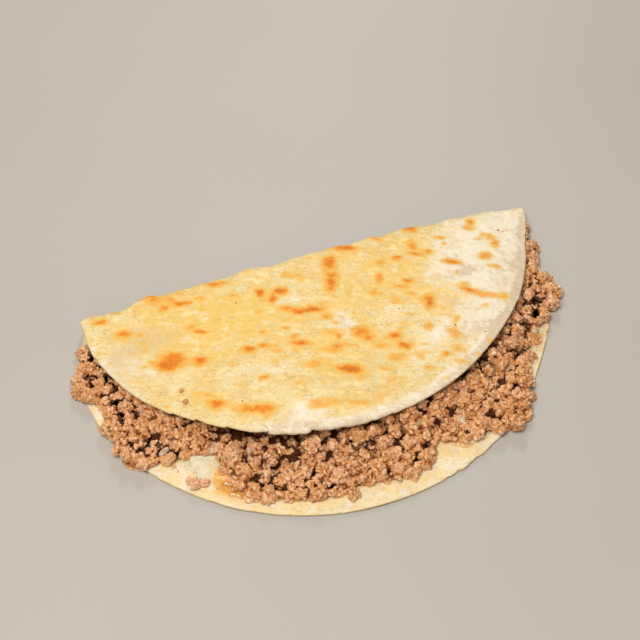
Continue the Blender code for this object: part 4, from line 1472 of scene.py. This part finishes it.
def settle(piece):
    """Presses a piece flat where it meets the plate, the sheet and the flap."""
    place = points_of(piece)
    x, y = place[:, 0] - CENTRE.x, place[:, 1] - CENTRE.y
    on_sheet = np.hypot(x, y) < LOWER_RADIUS - SHEET_MARGIN
    ground = np.where(on_sheet, SHEET - SUNK_IN_SHEET, OFF_PLATE)
    place[:, 2] = np.maximum(place[:, 2], ground)
    under = np.hypot(x - FLAP_CENTRE[0], y - FLAP_CENTRE[1]) < FLAP_RADIUS + LIP_OVERHANG
    ceiling = flap_underside(x, y) - UNDER_FLAP
    place[:, 2] = np.where(under, np.minimum(place[:, 2], ceiling), place[:, 2])
    move_points(piece, place)


crumble_pieces = []
for part, (from_x, to_x) in SECTIONS.items():
    crumble = grow("beef_crumble_" + part, whole_heap, crumbling, From_X=from_x, To_X=to_x,
                   Material=meat, Core=core, Clump_room=clump_room, Lower_room=lower_room)
    settle(crumble)
    place_on_frame(crumble, "beef")
    crumble_pieces.append(crumble)
bpy.data.objects.remove(clump_room)
bpy.data.objects.remove(lower_room)

# %% [markdown]
# The core under the flap is kept as a plain closed piece, so that no light gets in from behind.
# It is drawn in by a small margin, to stay under the skin that grew round it, and counts as
# deep all over, which gives it the beef's darkest painted shade.

# %% The core of the beef
CORE_MARGIN = 0.6 * MM

core.data.materials.clear()
core.data.materials.append(meat)
for vert in core.data.vertices:
    vert.co.z = max(SHEET, vert.co.z - CORE_MARGIN)
    vert.co.xy = HEAP_MIDDLE.xy + (vert.co.xy - HEAP_MIDDLE.xy) * (1 - CORE_MARGIN / HEAP_RADIUS)
# Painted shade: the core takes the darkest colour of the beef.
store(core, "depth", np.full(len(core.data.vertices), CORE_DEPTH))
place_on_frame(core, "beef")

# %% [markdown]
# ## Melted cheese
# A thin layer of cheese melted between the lower dough and the beef. It shows only where it
# ran out at the front. There it is white and soft, and it turns orange where fat from the beef
# soaked in. The shape could be sculpted, but the model's own layer already has its outline, so
# a short tree works on that: a signed distance grid rounds it off, its top runs down to the
# dough over the last millimetres before its edge, and noise makes its edge and top uneven.

# %% Tree of the cheese
CHEESE_BOTTOM = SHEET - 0.3 * MM
RIPPLE_SIZE = 4 * MM
DRIP_SIZE = 7 * MM
THINNEST_UP_TO = 0.5 * MM

melting, given = new_tree("melted layer", {
    "Voxel": ("Float", 0.7 * MM), "Ripple": ("Float", 1.7 * MM), "Drips": ("Float", 3.0 * MM),
    "Thin edge": ("Float", 4 * MM), "Material": ("Material", None),
})
normal = add(melting, "GeometryNodeInputNormal")
facing = add(melting, "ShaderNodeSeparateXYZ", {0: normal}, out="Z")
level = add(melting, MATH, {0: facing}, operation="ABSOLUTE")
level = add(melting, MATH, {0: level, 1: 0.5}, operation="GREATER_THAN")
sides = add(melting, DELETE, {
    "Geometry": given["Geometry"], "Selection": level}, domain="FACE")
grid = add(melting, TO_GRID, {"Mesh": given["Geometry"], "Voxel Size": given["Voxel"]})
skin = add(melting, "GeometryNodeGridToMesh", {"Grid": grid, "Threshold": 0.0, "Adaptivity": 0.05})
position = add(melting, "GeometryNodeInputPosition")
from_side = add(melting, "GeometryNodeProximity", {
    "Geometry": sides, "Sample Position": position}, out="Distance")
x, y, z = add(melting, "ShaderNodeSeparateXYZ", {0: position}, out=("X", "Y", "Z"))
share = add(melting, RANGE, {0: from_side, 1: THINNEST_UP_TO, 2: given["Thin edge"]},
            interpolation_type="SMOOTHSTEP")
above = add(melting, MATH, {0: z, 1: CHEESE_BOTTOM}, operation="SUBTRACT")
z = add(melting, MATH, {0: above, 1: share, 2: CHEESE_BOTTOM}, operation="MULTIPLY_ADD")
thinned = add(melting, COMBINE, {0: x, 1: y, 2: z})
skin = add(melting, MOVE, {"Geometry": skin, "Position": thinned})
print("nodes so far:", len(melting.nodes))

# %% Tree of the cheese: ripples and drips
upright = add(melting, NOISE, {"Vector": position, "Scale": 1 / RIPPLE_SIZE, "Detail": 2.0}, out="Fac")
drips = add(melting, NOISE, {"Vector": position, "Scale": 1 / DRIP_SIZE, "Detail": 1.0}, out="Color")
drips = add(melting, VECTOR_MATH, {0: drips, 1: (0.5, 0.5, 0.5)}, operation="SUBTRACT")
drips = add(melting, VECTOR_MATH, {0: drips, 1: (1, 1, 0)}, operation="MULTIPLY")
drips = add(melting, VECTOR_MATH, {0: drips, "Scale": given["Drips"]}, operation="SCALE")
upward = add(melting, MATH, {0: upright, 1: 0.35}, operation="SUBTRACT")
upward = add(melting, MATH, {0: upward, 1: given["Ripple"]}, operation="MULTIPLY")
faces_up = add(melting, MATH, {0: facing, 1: 0.0}, operation="MAXIMUM")
upward = add(melting, MATH, {0: upward, 1: faces_up}, operation="MULTIPLY")
lifted = add(melting, COMBINE, {2: upward})
shift = add(melting, VECTOR_MATH, {0: drips, 1: lifted}, operation="ADD")
skin = add(melting, MOVE, {"Geometry": skin, "Offset": shift})
skin = add(melting, "GeometryNodeSetShadeSmooth", {"Geometry": skin})
skin = add(melting, "GeometryNodeRealizeInstances", {"Geometry": skin})
skin = add(melting, "GeometryNodeSetMaterial", {"Geometry": skin, "Material": given["Material"]})
add(melting, "NodeGroupOutput", {0: skin})
print("the cheese's tree has", len(melting.nodes), "nodes")

# %% [markdown]
# Melted white cheese is smooth, moist and a little see-through, so light glows in it and its
# highlights are broad and wet. Fat from the beef turns it from cream to orange, and under the
# beef it is painted dark brown as the dough is, partly stained by fat and partly painted shade.


# %% Material of the cheese
def cheese_material():
    """Soft and milky from subsurface light, wet from a thin coat of fat."""
    material, tree = new_material("melted white cheese")
    greasy, stain = (
        add(tree, STORED, out="Fac", attribute_name=name) for name in ("greasy", "stain"))
    patch = speckle(tree, 3 * MM, 2.0)
    soaked = weighed(tree, (greasy, 1.1), (patch, 0.9), (-0.5, 1))
    colour = painted(
        tree, "#E2D6B4",
        ("#D2BA8A", patch, 0.5, 0.3, 0.7),
        ("#E8AA42", soaked, 0.1, 0.55, 0.95),
        ("#D5851E", soaked, 0.6, 1.0, 0.8),
        (STAIN_AND_SHADE_COLOUR, stain, 0.0, 0.9, 0.92),
    )
    height = weighed(tree, (speckle(tree, 1.5 * MM, 2.0), 1.0))
    bumps = add(tree, "ShaderNodeBump", {"Height": height, "Strength": 0.9, "Distance": 0.8 * MM})
    shader = add(tree, "ShaderNodeBsdfPrincipled", {
        "Base Color": colour, "Roughness": 0.3, "Normal": bumps, "IOR": 1.45,
        "Specular IOR Level": 0.35, "Subsurface Weight": 0.25,
        "Subsurface Radius": (1.0, 0.7, 0.35), "Subsurface Scale": LIGHT_REACH,
        "Coat Weight": 0.3, "Coat Roughness": 0.08,
    })
    add(tree, "ShaderNodeOutputMaterial", {"Surface": shader})
    return material


cheese_finish = cheese_material()
print(cheese_finish.name, "has", len(cheese_finish.node_tree.nodes), "nodes")

# %% [markdown]
# The ripples might lift the cheese through the beef, so each point under the core is held a
# little below it. The greasy patches are (x, y, half width, half height, strength) as before.

# %% The cheese
GREASY = (
    (-53, -79, 9, 9, 1.2), (-33, -87, 7, 4, 0.9), (-10, -86, 20, 6, 0.6), (20, -80, 18, 8, 0.7),
)
UNDER_CORE = 0.4 * MM

cheese_layer = bpy.data.meshes.new("cheese layer")
layer = bmesh.new()
layer.from_mesh(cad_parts["cheese"].data)
bmesh.ops.remove_doubles(layer, verts=layer.verts, dist=SAME_PLACE)
layer.to_mesh(cheese_layer)
layer.free()
cheese = grow("melted_cheese", cheese_layer, melting, Material=cheese_finish)
cheese_place = points_of(cheese)
cheese_place[:, 2] = np.maximum(cheese_place[:, 2], CHEESE_BOTTOM)
core_surface = to_cast_rays_at(core)
for place in cheese_place:
    hit = core_surface.ray_cast(Vector((place[0], place[1], ABOVE_ALL)), DOWN)[0]
    if hit:
        place[2] = min(place[2], hit.z - UNDER_CORE)
move_points(cheese, cheese_place)
on_x, on_y = cheese_place[:, 0] - CENTRE.x, cheese_place[:, 1] - CENTRE.y
store(cheese, "greasy", np.clip(patches(on_x, on_y, GREASY), 0, 1))
# Painted shade and fat stains under the beef, as on the dough.
store(cheese, "stain", under_beef(on_x, on_y))
place_on_frame(cheese, "cheese")

# %% [markdown]
# ## Small things
# Onion dice went through the pan with the mince. A few crumbs of beef lie loose on the dough
# and on the flap, and thin meat juice stands in small pools beside the beef. Each small thing
# is dropped from above onto what lies under it, so that it never floats or sinks in.

# %% Dropping things into place
BALL_STEP = 9.1
surfaces = {piece.name: to_cast_rays_at(piece) for piece in (tortilla, cheese, *crumble_pieces)}


def top_at(x, y, *names):
    """The height of the highest surface at a place given from the centre, in metres."""
    start = CENTRE + Vector((x, y, ABOVE_ALL))
    hits = [surfaces[name].ray_cast(start, DOWN)[0] for name in names or surfaces]
    return max([SHEET, *(hit.z for hit in hits if hit)])


def blobs(centres, radii, seed, squash=0.8, roughness=0.28, divisions=2):
    """Points and faces of small lumpy balls, all in one. Each ball takes its lumps from the
    noise at a place one BALL_STEP further on."""
    ball = bmesh.new()
    bmesh.ops.create_icosphere(ball, subdivisions=divisions, radius=1.0)
    unit = np.array([vert.co[:] for vert in ball.verts])
    unit_faces = np.array([[vert.index for vert in face.verts] for face in ball.faces])
    ball.free()
    points, faces = [], []
    for i, (centre, radius) in enumerate(zip(centres, radii)):
        lump = 1 + roughness * ripple(unit[:, 0] + BALL_STEP * i, unit[:, 1] + unit[:, 2], 0.9, seed)
        shape = unit * lump[:, None] * radius * (1.15, 1.0, squash)
        faces.append(unit_faces + len(unit) * i)
        points.append(shape + np.array(centre))
    return np.concatenate(points), np.concatenate(faces).tolist()


print("surfaces to drop things on:", len(surfaces))

# %% [markdown]
# A loose crumb is a knot of small lumps, highest in its middle, with the meat's own material.
# The list gives (x, y, reach) in millimetres. Crumbs on the lower half get the painted highlight
# of the tops of the clumps. Those on the flap get none, and look a little darker.

# %% Loose crumbs of beef
LOOSE = (
    (-67.5, -71.5, 3.4), (-64.0, -72.5, 2.8), (-69.5, -69.5, 2.0), (-73.5, -61.5, 1.2),
    (-72.5, -64.0, 0.6), (-48.0, -82.5, 1.1), (-60.0, -76.0, 0.7), (-62.8, -36.0, 1.3),
    (-62.5, -41.3, 1.6), (-40.5, -84.0, 1.4), (-26.0, -91.0, 1.1), (44.0, -86.0, 1.2),
    (89.5, 4.2, 0.8), (91.0, 2.8, 0.6),
)
BITS_IN_CRUMB = 28
ON_FLAP_FROM_Y = -50
# The crevice value of the clumps' tops, which the beef's material paints as a highlight.
PALE_AS_TOPS = -0.4 * MM
GROUND = ("tortilla_sheet", "melted_cheese")

rng = np.random.default_rng(5)
centres, radii, tones, folds = [], [], [], []
for crumb_x, crumb_y, reach in LOOSE:
    ground = top_at(crumb_x * MM, crumb_y * MM, *GROUND)
    for i in range(BITS_IN_CRUMB):
        turn, out = rng.uniform(0, FULL_TURN), reach * MM * 0.6 * math.sqrt(rng.uniform())
        radius = reach * MM * rng.uniform(0.16, 0.32)
        height = radius * 0.6 + (reach * MM * 0.7 - out) * rng.uniform(0.2, 1.0)
        centres.append((crumb_x * MM + out * math.cos(turn), crumb_y * MM + out * math.sin(turn),
                        ground + height))
        radii.append(radius)
        tones.append(rng.uniform())
        folds.append(PALE_AS_TOPS if crumb_y < ON_FLAP_FROM_Y else 0.0)
points, faces = blobs(centres, radii, 71)
crumbs = new_piece("loose_beef_crumbs", points, faces, meat)
per_ball = len(points) // len(radii)
store(crumbs, "tone", np.repeat(tones, per_ball))
store(crumbs, "grain", np.repeat(rng.permutation(tones), per_ball))
store(crumbs, "crevice", np.repeat(folds, per_ball))
place_on_frame(crumbs, "beef")

# %% [markdown]
# Fried onion is soft, wet and see-through, with brown streaks along its layers. Each piece of it
# starts as a ball whose sides are pushed out towards a box, which gives rounded edges, and only
# its top stands out of the beef. The list gives (x, y, length, width, turn), in millimetres and
# degrees.

# %% Material of the onion
def onion_material():
    """Glassy from strong subsurface light, with a wet coat."""
    material, tree = new_material("fried onion")
    streak = speckle(tree, 1.5 * MM, 2.0, stretch=(0.3, 1, 1))
    colour = painted(tree, "#D0B59A", ("#B5906E", streak, 0.4, 0.6, 0.8))
    shader = add(tree, "ShaderNodeBsdfPrincipled", {
        "Base Color": colour, "Roughness": 0.3, "IOR": 1.4, "Subsurface Weight": 0.4,
        "Subsurface Radius": (1.0, 0.8, 0.6), "Subsurface Scale": 1.2 * MM,
        "Coat Weight": 0.4, "Coat Roughness": 0.1,
    })
    add(tree, "ShaderNodeOutputMaterial", {"Surface": shader})
    return material


onion_finish = onion_material()
print(onion_finish.name, "has", len(onion_finish.node_tree.nodes), "nodes")

# %% Onion dice
ONIONS = (
    (-79.0, -33.5, 6.5, 3.0, 80), (-75.5, -54.5, 4.5, 2.4, 30), (-57.0, -60.5, 4.6, 2.4, 60),
    (21.0, -76.0, 4.0, 3.0, 10), (-44.0, -67.0, 3.4, 2.0, 40), (38.0, -80.0, 3.6, 2.6, 75),
    (66.0, -62.0, 4.0, 2.4, 20), (54.0, -75.0, 4.6, 2.6, 150), (84.0, -48.0, 3.4, 2.2, 45),
)
ONION_THICKNESS = 1.5 * MM
ONION_SUNK = 0.35
BOXINESS = 0.75
MOST_TILT = 0.4

beef_names = [piece.name for piece in crumble_pieces]
centres = np.zeros((1, 3))
points, faces = [], []
unit_points, unit_faces = blobs(centres, [0.5], 81, squash=1.0, roughness=0.12, divisions=3)
for i, (onion_x, onion_y, length, width, turn) in enumerate(ONIONS):
    box = np.sign(unit_points) * np.abs(unit_points * 2) ** BOXINESS / 2
    box = box * (length * MM, width * MM, ONION_THICKNESS)
    tilt = Matrix.Rotation(rng.uniform(-MOST_TILT, MOST_TILT), 3, "X")
    tilt = Matrix.Rotation(math.radians(turn), 3, "Z") @ tilt
    height = top_at(onion_x * MM, onion_y * MM, *beef_names) - ONION_SUNK * ONION_THICKNESS
    points.append(box @ np.array(tilt).T + (onion_x * MM, onion_y * MM, height))
    faces += [[corner + len(box) * i for corner in face] for face in unit_faces]
onions = new_piece("onion_dice", np.concatenate(points), faces, onion_finish)
place_on_frame(onions, "beef")

# %% [markdown]
# Meat juice is thin, clear and amber, with hard bright highlights. Glass with absorption would
# be the exact way, but it renders slowly and darkly in so thin a film. Here the colour is mixed
# in at 0.3 opacity over what lies below. That weakens the highlights too, so the IOR is set
# higher than the 1.4 of the real juice, which brings them back.

# %% Material of the juice
def juice_material():
    """Nearly clear, with mirror-like highlights from a smooth wet coat."""
    material, tree = new_material("clear meat juice")
    shader = add(tree, "ShaderNodeBsdfPrincipled", {
        "Base Color": "#E7A440", "Roughness": 0.05, "IOR": 1.7, "Alpha": 0.3,
        "Coat Weight": 1.0, "Coat Roughness": 0.03, "Coat IOR": 1.7})
    add(tree, "ShaderNodeOutputMaterial", {"Surface": shader})
    return material


juice_finish = juice_material()
print(juice_finish.name, "has", len(juice_finish.node_tree.nodes), "nodes")

# %% [markdown]
# A pool is a shallow dome of rings with a wavy outline, and each point of it is dropped onto the
# dough or the cheese first. Its edge dips just below them, so no seam shows, and a flat cone
# closes it underneath. The list gives (x, y, half length, half width, turn), in millimetres and
# degrees.

# %% Pools of juice
POOLS = (
    (34.0, -87.0, 6.0, 1.9, -28), (-54.5, -78.5, 4.5, 3.6, -40), (-50.0, -84.0, 3.4, 1.8, -30),
    (-31.0, -89.5, 3.4, 1.4, -15), (63.0, -76.0, 3.6, 1.8, 35),
)
POOL_HEIGHT = 0.7 * MM
EDGE_DIP = 0.15 * MM
POOL_BOTTOM = SHEET - 0.2 * MM
POOL_RINGS, POOL_SIDES = 6, 48
INNERMOST = 0.02
POOL_WAVE = 0.6


def pool_points(pool_x, pool_y, half_length, half_width, pool_turn):
    """The rings of a pool from its middle outwards, then its lowest and its highest point."""
    turns = np.linspace(0, FULL_TURN, POOL_SIDES, endpoint=False)
    wavy = 1 + POOL_WAVE * ripple(np.cos(turns) + pool_x, np.sin(turns), 0.7, 91)
    made = []
    for ring_number in range(POOL_RINGS + 1):
        share = (ring_number + INNERMOST) / (POOL_RINGS + INNERMOST)
        for turn, reach in zip(turns, wavy * share):
            reached = (half_length * reach * math.cos(turn), half_width * reach * math.sin(turn))
            reached = Matrix.Rotation(math.radians(pool_turn), 2) @ Vector(reached)
            x, y = (pool_x + reached.x) * MM, (pool_y + reached.y) * MM
            height = top_at(x, y, *GROUND) + POOL_HEIGHT * (1 - share ** 3)
            made.append((x, y, height - EDGE_DIP * share ** 6))
    made.append((pool_x * MM, pool_y * MM, POOL_BOTTOM))
    made.append((pool_x * MM, pool_y * MM, made[0][2]))
    return made


def pool_faces(start):
    """The faces of a pool whose first point has this number."""
    made = []
    rim = start + POOL_RINGS * POOL_SIDES
    lowest = rim + POOL_SIDES
    for side in range(POOL_SIDES):
        after = (side + 1) % POOL_SIDES
        made.append((lowest + 1, start + side, start + after))
        for inner in range(start, rim, POOL_SIDES):
            outer = inner + POOL_SIDES
            made.append((inner + side, outer + side, outer + after, inner + after))
        made.append((lowest, rim + after, rim + side))
    return made


points, faces = [], []
for pool in POOLS:
    faces += pool_faces(len(points))
    points += pool_points(*pool)
juice = new_piece("meat_juice", points, faces, juice_finish)
repair_normals(juice)
place_on_frame(juice, "beef")
